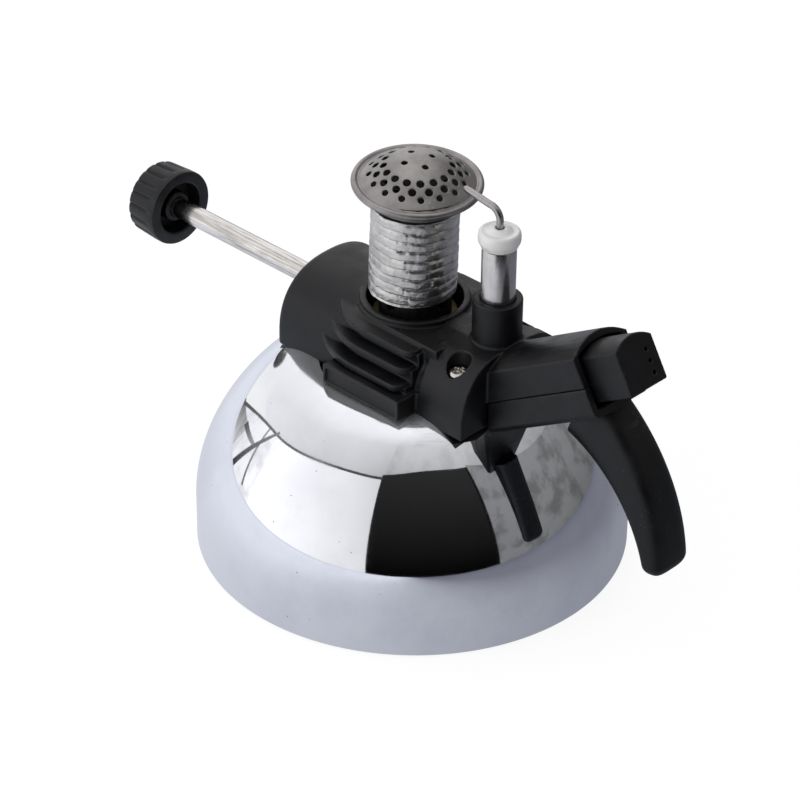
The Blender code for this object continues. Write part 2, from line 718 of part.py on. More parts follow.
def make_housing_base():
    left, right = HOUSING_LEFT + SEAT, HOUSING_RIGHT - SEAT
    half, lip, block = BARREL_HALF - SEAT, LUG_FRONT - SEAT, BLOCK_HALF + BASE_LIP
    side = [(left, half), (LUG_LEFT, half), (LUG_LEFT, lip)]
    side += [(LUG_RIGHT, lip), (LUG_RIGHT, block), (right, block)]
    outline = [(along, -across) for along, across in side] + side[::-1]
    base = add_part("housing_base", slab_mesh("housing_base", outline, BASE_SHEET), BLACK_PLASTIC)
    base.location.z = (BASE_BOTTOM + BASE_TOP) / 2.0
    round_edges(base, BASE_SHEET / 4, segments=1, angle=60)
    margin = 2 * SEAT
    low, high = BASE_BOTTOM - margin, BASE_TOP + margin
    cut(base, drum_cutter("neck_hole", NECK_FLANGE_RADIUS + SEAT, low, high))
    for side, label in ((-1, "front"), (1, "rear")):
        hole = drum_cutter(f"base_screw_hole_{label}", SCREW_SHANK_RADIUS + SEAT, low, high, steps=20)
        hole.location = (SCREW_X, side * SCREW_Y, 0.0)
        cut(base, hole)
        seat = DECK + SCREW_SEAT + SEAT
        head_top = seat + SCREW_HEAD_HEIGHT
        points = [(0.0, head_top), (SCREW_HEAD_RADIUS, head_top - SEAT), (SCREW_HEAD_RADIUS, seat)]
        points += [(SCREW_SHANK_RADIUS, seat), (SCREW_SHANK_RADIUS, BASE_BOTTOM), (0.0, BASE_BOTTOM)]
        screw = turned_part(f"cover_screw_{label}", points, STEEL, closed=False, steps=20)
        screw.location = (SCREW_X, side * SCREW_Y, 0.0)
        slot = box_cutter(f"screw_slot_{label}", (-SCREW_HEAD_RADIUS * 0.8, -SEAT, head_top - 2 * SEAT),
                          (SCREW_HEAD_RADIUS * 0.8, SEAT, head_top + SEAT))
        slot.location += Vector((SCREW_X, side * SCREW_Y, 0.0))
        cut(screw, slot)


def arm_point(along, square):
    """Side-view place (x, z) of a point given along the arm and square to it."""
    root = Vector((ARM_ROOT_X, DECK + ARM_ROOT_HEIGHT))
    return root + Vector((along * math.cos(ARM_SLANT) - square * math.sin(ARM_SLANT),
                          along * math.sin(ARM_SLANT) + square * math.cos(ARM_SLANT)))


def leg_outline():
    """Curved tapering bar in side view: outer arc, rounded tip, inner arc."""
    top = arm_point(LEG_ROOT, ARM_BOTTOM + ARM_WALL / 2)
    tip = Vector((LEG_TIP_X, DECK - LEG_DROP))
    chord = tip - top
    radius = chord.length ** 2 / (8 * LEG_BOW) + LEG_BOW / 2
    outward = Vector((-chord.y, chord.x)).normalized()
    centre = (top + tip) / 2 - outward * (radius - LEG_BOW)
    start = math.atan2(top.y - centre.y, top.x - centre.x)
    end = math.atan2(tip.y - centre.y, tip.x - centre.x)
    outer, inner = [], []
    for step in range(LEG_POINTS + 1):
        share = step / LEG_POINTS
        half = (LEG_ROOT_THICK + (LEG_TIP_THICK - LEG_ROOT_THICK) * share) / 2
        angle = start + (end - start) * share
        ray = Vector((math.cos(angle), math.sin(angle)))
        outer.append(centre + ray * (radius + half))
        inner.append(centre + ray * (radius - half))
    nose = arc_points(tip, LEG_TIP_THICK / 2, end, end - math.pi, 8)
    return outer[:-1] + nose + inner[-2::-1]


def make_handle(arm):
    """Lower half of the arm with the curved leg and the tongue under the cover."""
    lower = [(-ARM_HALF, -SEAT), (-ARM_HALF, ARM_BOTTOM + ARM_EDGE), (-ARM_HALF + ARM_EDGE, ARM_BOTTOM)]
    lower += [(-across, height) for across, height in reversed(lower)]
    leg = add_part("handle", slab_mesh("handle", leg_outline(), 2 * LEG_HALF), BLACK_PLASTIC)
    face_along_y(leg, 0.0)
    round_edges(leg, LEG_EDGE, segments=3, angle=60)
    join(leg, section_x("lower_arm", lower, -ARM_WALL, ARM_LENGTH, arm))
    cavity = hood_outline(ARM_HALF - ARM_WALL, ARM_BOTTOM + ARM_WALL, ARM_SHOULDER, ARM_CROWN - ARM_WALL)
    cut(leg, section_x("handle_cavity", cavity, -2 * ARM_WALL, ARM_LENGTH + SEAT, arm))
    trim_low = (HOUSING_LEFT, -BLOCK_HALF, DECK - SHOULDER_RADIUS)
    cut(leg, box_cutter("arm_root_trim", trim_low, (HOUSING_RIGHT + SEAT, BLOCK_HALF, DECK + BARREL_TOP)))
    foot_right = arm_point(LEG_ROOT, ARM_BOTTOM).x - LEG_ROOT_THICK
    cut(leg, box_cutter("arm_foot_trim", trim_low, (foot_right, BLOCK_HALF, DECK + ARM_FOOT)))
    tongue_low = BASE_TOP + SEAT
    tongue_half = BLOCK_CHANNEL - SEAT
    join(leg, box_cutter("tongue", (HOUSING_RIGHT - TONGUE_LENGTH, -tongue_half, tongue_low),
                         (HOUSING_RIGHT + 2 * ARM_WALL, tongue_half, tongue_low + TONGUE_HEIGHT)))


def make_igniter(arm):
    outline = hood_outline(BUTTON_HALF, BUTTON_BOTTOM, BUTTON_SHOULDER, BUTTON_CROWN)
    button = add_part("ignition_button", slab_mesh("ignition_button", outline, BUTTON_END - BUTTON_START),
                      BLACK_PLASTIC, arm)
    face_along_x(button, BUTTON_START, BUTTON_END)
    round_edges(button, BUTTON_EDGE)
    pocket = drum_cutter("button_pocket", PLUNGER_RADIUS + SEAT, -SEAT, BUTTON_POCKET, parent=arm)
    cut(button, along_arm(pocket, BUTTON_START))
    for number in range(DIMPLE_COUNT):
        dimple = drum_cutter(f"dimple_{number}", DIMPLE_RADIUS, -DIMPLE_DEPTH, DIMPLE_DEPTH, steps=8,
                             parent=arm)
        along_arm(dimple, BUTTON_END)
        dimple.location.y = BUTTON_HALF / 2
        dimple.location.z = (BUTTON_BOTTOM + BUTTON_SHOULDER) / 2 + (number - 1) * DIMPLE_PITCH
        cut(button, dimple)
    piezo_end = PIEZO_START + PIEZO_LENGTH
    bore = PLUNGER_RADIUS + SEAT
    bore_end = PIEZO_LENGTH - PLUNGER_DEPTH - BUTTON_TRAVEL - 2 * SEAT
    points = [(PIEZO_RADIUS, PIEZO_LENGTH), (PIEZO_RADIUS, 0.0), (0.0, 0.0)]
    points = [(0.0, bore_end), (bore, bore_end), (bore, PIEZO_LENGTH)] + points
    body = turned_part("piezo_body", points, LEAD_SLEEVE, closed=False, parent=arm)
    along_arm(body, PIEZO_START)
    plunger_length = PLUNGER_DEPTH + BUTTON_START - piezo_end + BUTTON_POCKET - SEAT
    plunger = drum_part("piezo_plunger", PLUNGER_RADIUS, 0.0, plunger_length, CERAMIC, parent=arm)
    along_arm(plunger, piezo_end - PLUNGER_DEPTH)
    inset = BUTTON_SPRING_WIRE + SEAT
    coil = helix(PLUNGER_RADIUS + inset, inset, BUTTON_START - piezo_end - inset, BUTTON_SPRING_TURNS)
    spring = add_part("button_spring", wire_curve("button_spring", coil, BUTTON_SPRING_WIRE), STEEL, arm)
    along_arm(spring, piezo_end)


def along_arm(item, start):
    """Point an object's own Z axis along the arm."""
    item.rotation_euler = (0.0, math.pi / 2, 0.0)
    item.location = (start, 0.0, PIEZO_AXIS)
    return item


def make_valve():
    top = DECK + VALVE_TOP
    flange_low = top - VALVE_FLANGE_HEIGHT
    side_end = -VALVE_SIDE_LENGTH
    points = [(0.0, top), (VALVE_FLANGE_RADIUS, top), (VALVE_FLANGE_RADIUS, flange_low)]
    points += [(VALVE_RADIUS, flange_low), (VALVE_RADIUS, VALVE_BOTTOM), (0.0, VALVE_BOTTOM)]
    valve = turned_part("valve_body", points, BRASS, closed=False)
    branch = drum_cutter("valve_side", VALVE_SIDE_RADIUS, side_end, 0.0)
    lay_along_x(branch, 0.0)
    join(valve, branch)
    bore = drum_cutter("valve_bore", ROD_RADIUS + SEAT, side_end - SEAT, ROD_INNER_END + NEEDLE_LENGTH)
    lay_along_x(bore, 0.0)
    cut(valve, bore)
    outlet = drum_cutter("valve_outlet", ROD_RADIUS / 2, ROD_Z, top + SEAT)
    outlet.location.x = ROD_INNER_END + NEEDLE_LENGTH - ROD_RADIUS
    cut(valve, outlet)
    jet = [(JET_RADIUS, JET_HEIGHT), (JET_RADIUS * 1.4, JET_HEIGHT * 0.6), (JET_RADIUS * 1.4, 0.0)]
    jet += [(JET_RADIUS / 4, 0.0), (JET_RADIUS / 4, JET_HEIGHT)]
    nozzle = turned_part("gas_jet", jet, BRASS)
    nozzle.location.z = top + SEAT
    ring_start = side_end - SEAT
    ring_section = ring_profile(VALVE_SIDE_RADIUS, ROD_RADIUS + SEAT, -GLAND_RING_LENGTH, 0.0)
    ring = turned_part("gland_ring", ring_section, RUBBER)
    lay_along_x(ring, ring_start)
    nut_start = ring_start - GLAND_RING_LENGTH - SEAT
    nut = drum_part("gland_nut", GLAND_RADIUS, -GLAND_LENGTH, 0.0, BRASS, steps=6)
    lay_along_x(nut, nut_start)
    nut_bore = drum_cutter("gland_bore", ROD_RADIUS + SEAT, -GLAND_LENGTH - SEAT, SEAT)
    lay_along_x(nut_bore, nut_start)
    cut(nut, nut_bore)


def lay_along_x(item, start):
    """Turn an object's own Z axis onto +X at the height of the rod."""
    item.rotation_euler = (0.0, math.pi / 2, 0.0)
    item.location = (start, 0.0, ROD_Z)


def make_knob():
    rod_end = KNOB_FACE - KNOB_HUB_SET_BACK - KNOB_SOCKET_DEPTH + SEAT
    rod = drum_part("control_rod", ROD_RADIUS, rod_end, ROD_INNER_END, STEEL)
    lay_along_x(rod, 0.0)
    needle_start = ROD_INNER_END + SEAT
    points = [(0.0, NEEDLE_LENGTH - 3 * SEAT), (NEEDLE_TIP, NEEDLE_LENGTH - 3 * SEAT), (ROD_RADIUS, SEAT)]
    points += [(ROD_RADIUS, 0.0), (0.0, 0.0)]
    needle = turned_part("needle", points, BRASS, closed=False)
    lay_along_x(needle, needle_start)
    knob = add_part("control_knob", knob_mesh(), BLACK_PLASTIC)
    lay_along_x(knob, KNOB_FACE)
    groove = ring_profile(KNOB_POCKET_RADIUS, KNOB_HUB_RADIUS, -KNOB_POCKET_DEPTH, SEAT)
    cut(knob, lifted(turned_cutter("knob_pocket", groove)))
    face = drum_cutter("knob_hub_face", KNOB_HUB_RADIUS + SEAT, -KNOB_HUB_SET_BACK, SEAT)
    cut(knob, lifted(face))
    socket_end = -KNOB_HUB_SET_BACK - KNOB_SOCKET_DEPTH
    cut(knob, lifted(drum_cutter("knob_socket", ROD_RADIUS + SEAT / 2, socket_end, SEAT)))


def lifted(item):
    lay_along_x(item, KNOB_FACE)
    return item


def knob_mesh():
    """Fluted drum along its own Z axis, open face at zero, rounded far edge."""
    count = KNOB_FLUTES * 4
    levels = [(-KNOB_LENGTH, -KNOB_TAPER - KNOB_EDGE, 0.0), (-KNOB_LENGTH + KNOB_EDGE, -KNOB_TAPER, 1.0)]
    levels += [(-KNOB_BAND - KNOB_EDGE, 0.0, 1.0), (-KNOB_BAND, 0.0, 0.0)]
    levels += [(-KNOB_EDGE / 2, 0.0, 0.0), (0.0, -KNOB_EDGE / 2, 0.0)]
    work = bmesh.new()
    rings = []
    for height, grow, flute in levels:
        ring = []
        for step in range(count):
            angle = 2 * math.pi * step / count
            radius = KNOB_RADIUS + grow - (KNOB_FLUTE_DEPTH * flute if step % 4 in (0, 1) else 0.0)
            ring.append(work.verts.new((radius * math.cos(angle), radius * math.sin(angle), height)))
        rings.append(ring)
    for lower, upper in zip(rings, rings[1:]):
        for step in range(count):
            after = (step + 1) % count
            work.faces.new((lower[step], lower[after], upper[after], upper[step]))
    work.faces.new(list(reversed(rings[0])))
    work.faces.new(rings[-1])
    mesh = bpy.data.meshes.new("control_knob")
    work.to_mesh(mesh)
    work.free()
    return mesh


def make_burner():
    tube_low = DECK + VALVE_TOP + SEAT
    tube_top = DECK + TUBE_TOP
    wall = ring_profile(TUBE_RADIUS, TUBE_RADIUS - TUBE_WALL, tube_low, tube_top)
    tube = turned_part("mixing_tube", wall, STEEL)
    air = drum_cutter("air_holes", AIR_HOLE_RADIUS, -2 * TUBE_RADIUS, 2 * TUBE_RADIUS, steps=12)
    air.rotation_euler = (0.0, math.pi / 2, 0.0)
    air.location.z = tube_low + JET_HEIGHT
    cut(tube, air)
    cross = drum_cutter("air_holes_across", AIR_HOLE_RADIUS, -2 * TUBE_RADIUS, 2 * TUBE_RADIUS, steps=12)
    cross.rotation_euler = (math.pi / 2, 0.0, 0.0)
    cross.location.z = tube_low + JET_HEIGHT
    cut(tube, cross)
    make_sleeve()
    make_head(tube_top)


def make_sleeve():
    low = DECK + SLEEVE_BOTTOM
    top = DECK + TUBE_TOP - SLEEVE_GAP
    pitch = (top - low) / SLEEVE_RIDGES
    inner = TUBE_RADIUS + SEAT
    ridge = inner + SLEEVE_WALL
    points = []
    for number in range(SLEEVE_RIDGES):
        crest = top - pitch * number
        points += [(ridge - SLEEVE_RIDGE, crest), (ridge, crest - pitch * 0.3), (ridge, crest - pitch * 0.8)]
    points += [(ridge - SLEEVE_RIDGE, low), (inner, low), (inner, top)]
    turned_part("wound_sleeve", points, SLEEVE_METAL)


def make_head(tube_top):
    cup_low = tube_top + SEAT
    rim_low = cup_low + CUP_DEPTH - CUP_THICK
    rim = CAP_RADIUS - 2 * CAP_RIM
    inner = TUBE_RADIUS - TUBE_WALL
    points = [(rim, rim_low + CUP_THICK), (rim, rim_low), (TUBE_RADIUS + CUP_COLLAR, cup_low)]
    points += [(inner, cup_low), (inner, cup_low + CUP_THICK)]
    points += [(TUBE_RADIUS + CUP_COLLAR - CUP_THICK, cup_low + CUP_THICK)]
    points += [(rim - CUP_THICK, rim_low + CUP_THICK)]
    turned_part("burner_cup", points, SATIN_STEEL)
    gauze_low = cup_low + CUP_DEPTH + SEAT
    gauze_radius = CAP_RADIUS - 2 * CAP_RIM - CAP_WALL
    gauze = drum_part("flame_gauze", gauze_radius, gauze_low, gauze_low + GAUZE_SHEET, STEEL)
    for number in range(GAUZE_HOLES):
        angle = 2 * math.pi * number / GAUZE_HOLES
        hole = drum_cutter(f"gauze_hole_{number}", GAUZE_HOLE_RADIUS, gauze_low - SEAT,
                           gauze_low + GAUZE_SHEET + SEAT, steps=6)
        hole.location = (gauze_radius / 2 * math.cos(angle), gauze_radius / 2 * math.sin(angle), 0.0)
        cut(gauze, hole)
    make_cap()


def cap_height(radius):
    """Height of the cap's outer face above its rim plane."""
    cone_foot = CAP_RADIUS - CAP_RIM
    if radius > CAP_CONE_TOP_RADIUS:
        return CAP_RIM + CAP_CONE_RISE * (cone_foot - radius) / (cone_foot - CAP_CONE_TOP_RADIUS)
    share = radius / CAP_CONE_TOP_RADIUS
    return CAP_RIM + CAP_CONE_RISE + CAP_CROWN_RISE * (1.0 - share * share)


def make_cap():
    """Perforated mushroom cap with a rolled rim."""
    middle = CAP_RADIUS - CAP_RIM
    crown = [CAP_CONE_TOP_RADIUS * step / 5 for step in range(6)]
    outer = [(radius, cap_height(radius)) for radius in crown]
    outer += [(middle - CAP_RIM * 0.5, cap_height(middle - CAP_RIM * 0.5))]
    rim = arc_points((middle, 0.0), CAP_RIM, math.radians(60), math.radians(-180), 9)
    inner = [(radius, cap_height(radius) - CAP_WALL) for radius in reversed(crown)]
    inner = [(middle - 1.2 * CAP_RIM, CAP_RIM)] + inner
    cap = turned_part("burner_cap", outer + rim + inner, SATIN_STEEL, closed=False, steps=36)
    cap.location.z = CAP_RIM_Z
    rings = [(CAP_MIDDLE_RING, CAP_MIDDLE_HOLES, CAP_HOLE_RADII[2], 0.75)]
    for number, radius in enumerate(CAP_RINGS):
        rings.append((radius, CAP_RING_HOLES, CAP_HOLE_RADII[number], 0.5 * (number % 2)))
    mesh = bpy.data.meshes.new("cap_holes")
    work = bmesh.new()
    for ring, count, size, offset in rings:
        for number in range(count):
            angle = CAP_TURN + 2 * math.pi * (number + offset) / count
            made = bmesh.ops.create_cone(work, cap_ends=True, segments=CAP_HOLE_SIDES, radius1=size,
                                         radius2=size, depth=4 * CAP_CONE_RISE)
            place = Vector((ring * math.cos(angle), ring * math.sin(angle), cap_height(ring)))
            bmesh.ops.translate(work, vec=place, verts=made["verts"])
    work.to_mesh(mesh)
    work.free()
    holes = add_cutter("cap_holes", mesh)
    holes.location.z = CAP_RIM_Z
    cut(cap, holes)


def make_electrode():
    low, top = DECK + ELECTRODE_TUBE_BOTTOM, DECK + ELECTRODE_TUBE_TOP
    inner = ELECTRODE_TUBE_RADIUS - ELECTRODE_TUBE_WALL
    tube = turned_part("electrode_tube", ring_profile(ELECTRODE_TUBE_RADIUS, inner, low, top), STEEL)
    stem = inner - SEAT
    bore = WIRE_RADIUS + SEAT
    crown = DECK + INSULATOR_TOP
    neck = top + SEAT
    points = [(INSULATOR_RADIUS - INSULATOR_CUP, crown), (INSULATOR_RADIUS, crown - INSULATOR_CUP / 2)]
    points += [(INSULATOR_RADIUS, crown - INSULATOR_COLLAR), (ELECTRODE_TUBE_RADIUS, neck), (stem, neck)]
    points += [(stem, DECK + INSULATOR_BOTTOM), (bore, DECK + INSULATOR_BOTTOM)]
    post = crown + INSULATOR_POST
    points += [(bore, post), (bore + INSULATOR_POST_WALL, post)]
    points += [(INSULATOR_POST_FOOT, crown - INSULATOR_CUP)]
    insulator = turned_part("insulator", points, CERAMIC)
    corner = post + WIRE_RISE
    bend = []
    for step in range(6):
        angle = math.pi / 2 * step / 5
        rise = corner - WIRE_BEND * (1.0 - math.sin(angle))
        bend.append((-WIRE_BEND * (1.0 - math.cos(angle)), 0.0, rise))
    points = [(0.0, 0.0, DECK + WIRE_BOTTOM)] + bend
    points.append((WIRE_TIP_X - ELECTRODE_X, 0.0, corner + WIRE_TIP_RISE))
    wire = add_part("electrode_wire", wire_curve("electrode_wire", points, WIRE_RADIUS), STEEL)
    for item in (tube, insulator, wire):
        item.location.x = ELECTRODE_X
    wire_end = wire.data.splines[0].points[-1]
    wire_end.radius = 0.6


def make_lead():
    """Lead from the back of the piezo body up into the insulator."""
    back = arm_point(PIEZO_START - SEAT, PIEZO_AXIS)
    start = Vector((back.x, 0.0, back.y))
    along = Vector((math.cos(ARM_SLANT), 0.0, math.sin(ARM_SLANT)))
    end = Vector((ELECTRODE_X, 0.0, DECK + INSULATOR_BOTTOM - SEAT))
    reach = (end.z - start.z) / 2
    first = start - along * LEAD_RADIUS
    second = first - along * reach
    third = end - Vector((0.0, 0.0, reach))
    points = []
    for step in range(13):
        share = step / 12
        keep = 1.0 - share
        near = first * keep ** 3 + second * 3 * keep ** 2 * share
        far = third * 3 * keep * share ** 2 + end * share ** 3
        points.append(near + far)
    add_part("high_voltage_lead", wire_curve("high_voltage_lead", points, LEAD_RADIUS), LEAD_SLEEVE)


def make_burner_assembly():
    arm = bpy.data.objects.new("arm_axis", None)
    arm.location = (ARM_ROOT_X, 0.0, DECK + ARM_ROOT_HEIGHT)
    arm.rotation_euler = (0.0, -ARM_SLANT, 0.0)
    parts.objects.link(arm)
    make_tank()
    make_floor()
    make_fill_valve()
    make_outlet()
    make_housing_base()
    make_cover(arm)
    make_handle(arm)
    make_igniter(arm)
    make_valve()
    make_knob()
    make_burner()
    make_electrode()
    make_lead()


make_burner_assembly()
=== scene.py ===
import json
import math

import bmesh
import bpy
from mathutils import Matrix, Vector, noise


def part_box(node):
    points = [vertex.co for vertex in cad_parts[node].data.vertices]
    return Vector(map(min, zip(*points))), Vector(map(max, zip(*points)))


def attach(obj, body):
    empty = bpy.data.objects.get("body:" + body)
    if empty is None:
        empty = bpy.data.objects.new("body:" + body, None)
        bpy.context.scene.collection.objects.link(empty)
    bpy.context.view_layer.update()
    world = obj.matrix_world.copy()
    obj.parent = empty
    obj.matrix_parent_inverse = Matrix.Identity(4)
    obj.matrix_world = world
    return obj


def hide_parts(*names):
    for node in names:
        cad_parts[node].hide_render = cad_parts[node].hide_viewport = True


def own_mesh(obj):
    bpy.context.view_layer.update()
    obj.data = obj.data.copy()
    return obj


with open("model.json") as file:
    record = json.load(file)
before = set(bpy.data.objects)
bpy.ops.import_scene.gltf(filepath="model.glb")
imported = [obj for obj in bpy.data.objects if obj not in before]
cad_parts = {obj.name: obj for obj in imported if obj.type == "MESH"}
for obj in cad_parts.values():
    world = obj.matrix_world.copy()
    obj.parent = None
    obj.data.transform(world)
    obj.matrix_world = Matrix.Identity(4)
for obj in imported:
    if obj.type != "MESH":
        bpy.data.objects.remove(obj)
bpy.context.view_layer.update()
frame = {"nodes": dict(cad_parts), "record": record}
nodes = frame["nodes"]
mainBody = "burner_body"
toMetres = 0.001  # pieces are drawn in millimetres and scaled once
fullTurn = 2 * math.pi
quarterTurn = math.pi / 2
pointSize = 1e-6  # a smaller ring is drawn as one point


def boxMm(nodeName):
    low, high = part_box(nodeName)
    return Vector(low) / toMetres, Vector(high) / toMetres


deckZ = boxMm("tank_shell")[1].z  # flat top of the tank
rodZ = sum(corner.z for corner in boxMm("control_rod")) / 2

arm = dict(slant=30.5, rootX=25.9, rootRise=6.4, half=7.8, low=-6.5, shoulder=6.1, crown=2.8,
           length=30.0, wall=1.6, edge=1.0, split=0.14, over=1.0, hoodPoints=12)
armSlant = math.radians(arm["slant"])
armRoot = Vector((arm["rootX"], 0.0, deckZ + arm["rootRise"]))
armAlong = Vector((math.cos(armSlant), 0.0, math.sin(armSlant)))
armSquare = Vector((-math.sin(armSlant), 0.0, math.cos(armSlant)))


def armPlace(along, across, square):
    return armRoot + armAlong * along + Vector((0.0, across, 0.0)) + armSquare * square


# shader helpers

nodeGrid = dict(columns=6, wide=220, high=260)


def feed(tree, value, socket):  # an output is wired, a plain value is set
    if isinstance(value, bpy.types.NodeSocket):
        tree.links.new(value, socket)
    elif socket.type == "RGBA":
        socket.default_value = (*value, 1.0)
    else:
        socket.default_value = value


def addNode(tree, kind, inputs=None, **settings):
    made = tree.nodes.new(kind)
    row, column = divmod(len(tree.nodes), nodeGrid["columns"])
    made.location = (column * nodeGrid["wide"], -row * nodeGrid["high"])
    for key, value in settings.items():
        setattr(made, key, value)
    for key, value in (inputs or {}).items():
        feed(tree, value, made.inputs[key])
    return made


def mathNode(tree, operation, first, second):
    return addNode(tree, "ShaderNodeMath", {0: first, 1: second}, operation=operation).outputs[0]


def scaled(tree, value, share):
    return mathNode(tree, "MULTIPLY", value, share)


def addUp(tree, *parts):
    total = parts[0]
    for part in parts[1:]:
        total = mathNode(tree, "ADD", total, part)
    return total


def softStep(tree, value, low, high):
    inputs = {"Value": value, "From Min": low, "From Max": high}
    made = addNode(tree, "ShaderNodeMapRange", inputs, interpolation_type="SMOOTHSTEP")
    return made.outputs["Result"]


def between(tree, factor, low, high):
    inputs = {"Value": factor, "To Min": low, "To Max": high}
    return addNode(tree, "ShaderNodeMapRange", inputs).outputs["Result"]


def mixColour(tree, factor, first, second):
    inputs = {0: factor, 6: first, 7: second}
    return addNode(tree, "ShaderNodeMix", inputs, data_type="RGBA").outputs[2]


def noiseNode(tree, coords, scale, detail, roughness):
    inputs = {"Vector": coords, "Scale": scale, "Detail": detail, "Roughness": roughness}
    return addNode(tree, "ShaderNodeTexNoise", inputs).outputs["Fac"]


def newGroup(name, inputs, fill):  # fill returns what the group puts out
    tree = bpy.data.node_groups.new(name, "ShaderNodeTree")
    for label, value in inputs.items():
        socket = tree.interface.new_socket(label, in_out="INPUT", socket_type="NodeSocketFloat")
        socket.default_value = value
    coords = addNode(tree, "ShaderNodeTexCoord").outputs["Object"]
    results = fill(tree, addNode(tree, "NodeGroupInput").outputs, coords)
    for label in results:
        tree.interface.new_socket(label, in_out="OUTPUT", socket_type="NodeSocketFloat")
    addNode(tree, "NodeGroupOutput", results)
    return tree


# effects that several finishes share, noise as detail and roughness

skinLook = dict(fine=(2.0, 0.6), broad=(3.0, 0.5), broadLift=1.6, cloud=(0.3, 0.7))
wipeLook = dict(cloud=(5.0, 0.62), stretch=(1.0, 1.0, 9.0), lineScale=420.0, line=(4.0, 0.7),
                mask=(0.42, 0.68), streak=(0.35, 0.75))
speckLook = dict(patchScale=130.0, patch=(2.0, 0.5), where=(0.5, 0.68))
edgeWearAndSheenLook = dict(patchScale=300.0, patch=(3.0, 0.6), where=(0.3, 0.65))
drawnLook = dict(lineScale=900.0, line=(4.0, 0.7), patchScale=220.0, patch=(4.0, 0.6),
                 where=(0.35, 0.7))


def mouldSkin(tree, source, coords):  # fine spark-eroded skin of a moulding
    fine = noiseNode(tree, coords, source["Grain"], *skinLook["fine"])
    broad = noiseNode(tree, coords, source["Waves"], *skinLook["broad"])
    height = addUp(tree, fine, scaled(tree, broad, skinLook["broadLift"]))
    return {"Height": height, "Cloud": softStep(tree, broad, *skinLook["cloud"])}


def wipeMarks(tree, source, coords):  # finger marks and wiping
    cloud = noiseNode(tree, coords, source["Scale"], *wipeLook["cloud"])
    drawn = {"Vector": coords, "Scale": wipeLook["stretch"]}
    stretch = addNode(tree, "ShaderNodeMapping", drawn).outputs["Vector"]
    lines = noiseNode(tree, stretch, wipeLook["lineScale"], *wipeLook["line"])
    return {"Mask": softStep(tree, cloud, *wipeLook["mask"]),
            "Streak": softStep(tree, lines, *wipeLook["streak"])}


def dustSpecks(tree, source, coords):  # scattered dust grains
    cells = addNode(tree, "ShaderNodeTexVoronoi", {"Vector": coords, "Scale": source["Scale"]})
    patch = noiseNode(tree, coords, speckLook["patchScale"], *speckLook["patch"])
    dots = mathNode(tree, "LESS_THAN", cells.outputs["Distance"], source["Amount"])
    return {"Mask": scaled(tree, dots, softStep(tree, patch, *speckLook["where"]))}


def edgeWearAndSheen(tree, source, coords):  # edges polished by handling, lighter where the surface is pointy: wear, and on the black plastic also a painted highlight along the edges
    shape = addNode(tree, "ShaderNodeNewGeometry").outputs["Pointiness"]
    edges = softStep(tree, shape, source["Low"], source["High"])
    patch = noiseNode(tree, coords, edgeWearAndSheenLook["patchScale"], *edgeWearAndSheenLook["patch"])
    return {"Mask": scaled(tree, edges, softStep(tree, patch, *edgeWearAndSheenLook["where"]))}


def drawnLines(tree, source, coords):  # fine lines along a drawn or turned surface
    along = addNode(tree, "ShaderNodeCombineXYZ", {axis: source["Along " + axis] for axis in "XYZ"})
    inputs = {0: coords, 1: along.outputs[0]}
    stretch = addNode(tree, "ShaderNodeVectorMath", inputs, operation="MULTIPLY").outputs[0]
    lines = noiseNode(tree, stretch, drawnLook["lineScale"], *drawnLook["line"])
    patches = noiseNode(tree, coords, drawnLook["patchScale"], *drawnLook["patch"])
    return {"Lines": lines, "Patches": softStep(tree, patches, *drawnLook["where"])}


groups = {
    "mouldSkin": newGroup("mouldSkin", {"Grain": 5200.0, "Waves": 260.0}, mouldSkin),
    "wipeMarks": newGroup("wipeMarks", {"Scale": 60.0}, wipeMarks),
    "dustSpecks": newGroup("dustSpecks", {"Scale": 700.0, "Amount": 0.1}, dustSpecks),
    "edgeWearAndSheen": newGroup("edgeWearAndSheen", {"Low": 0.505, "High": 0.56}, edgeWearAndSheen),
    "drawnLines": newGroup("drawnLines", {"Along " + axis: 1.0 for axis in "XYZ"}, drawnLines),
}
print("shader groups:", len(groups))


# finishes

def startMaterial(name, metallic=0.0):
    material = bpy.data.materials.new(name)
    material.use_nodes = True
    shader = material.node_tree.nodes["Principled BSDF"].inputs
    shader["Metallic"].default_value = metallic
    return material, material.node_tree, shader


def useGroup(tree, name, **values):
    inputs = {key.replace("_", " "): value for key, value in values.items()}
    return addNode(tree, "ShaderNodeGroup", inputs, node_tree=groups[name]).outputs


def bumpInto(tree, shader, height, strength, distance):
    inputs = {"Strength": strength, "Distance": distance, "Height": height}
    feed(tree, addNode(tree, "ShaderNodeBump", inputs).outputs["Normal"], shader["Normal"])


# the lighter grey on convex edges is handling wear and also a painted highlight along the plastic's
# edges
plastic = dict(dark=(0.0026, 0.0028, 0.0034), pale=(0.0048, 0.0051, 0.0060),
               rubbedAndSheen=(0.020, 0.0205, 0.023), dust=(0.11, 0.11, 0.11), dustShare=0.6, waves=220.0,
               rubLow=0.506, rubHigh=0.57, speckScale=820.0, specks=0.085, smooth=0.38, rough=0.52,
               gloss=0.35, bump=0.00012)


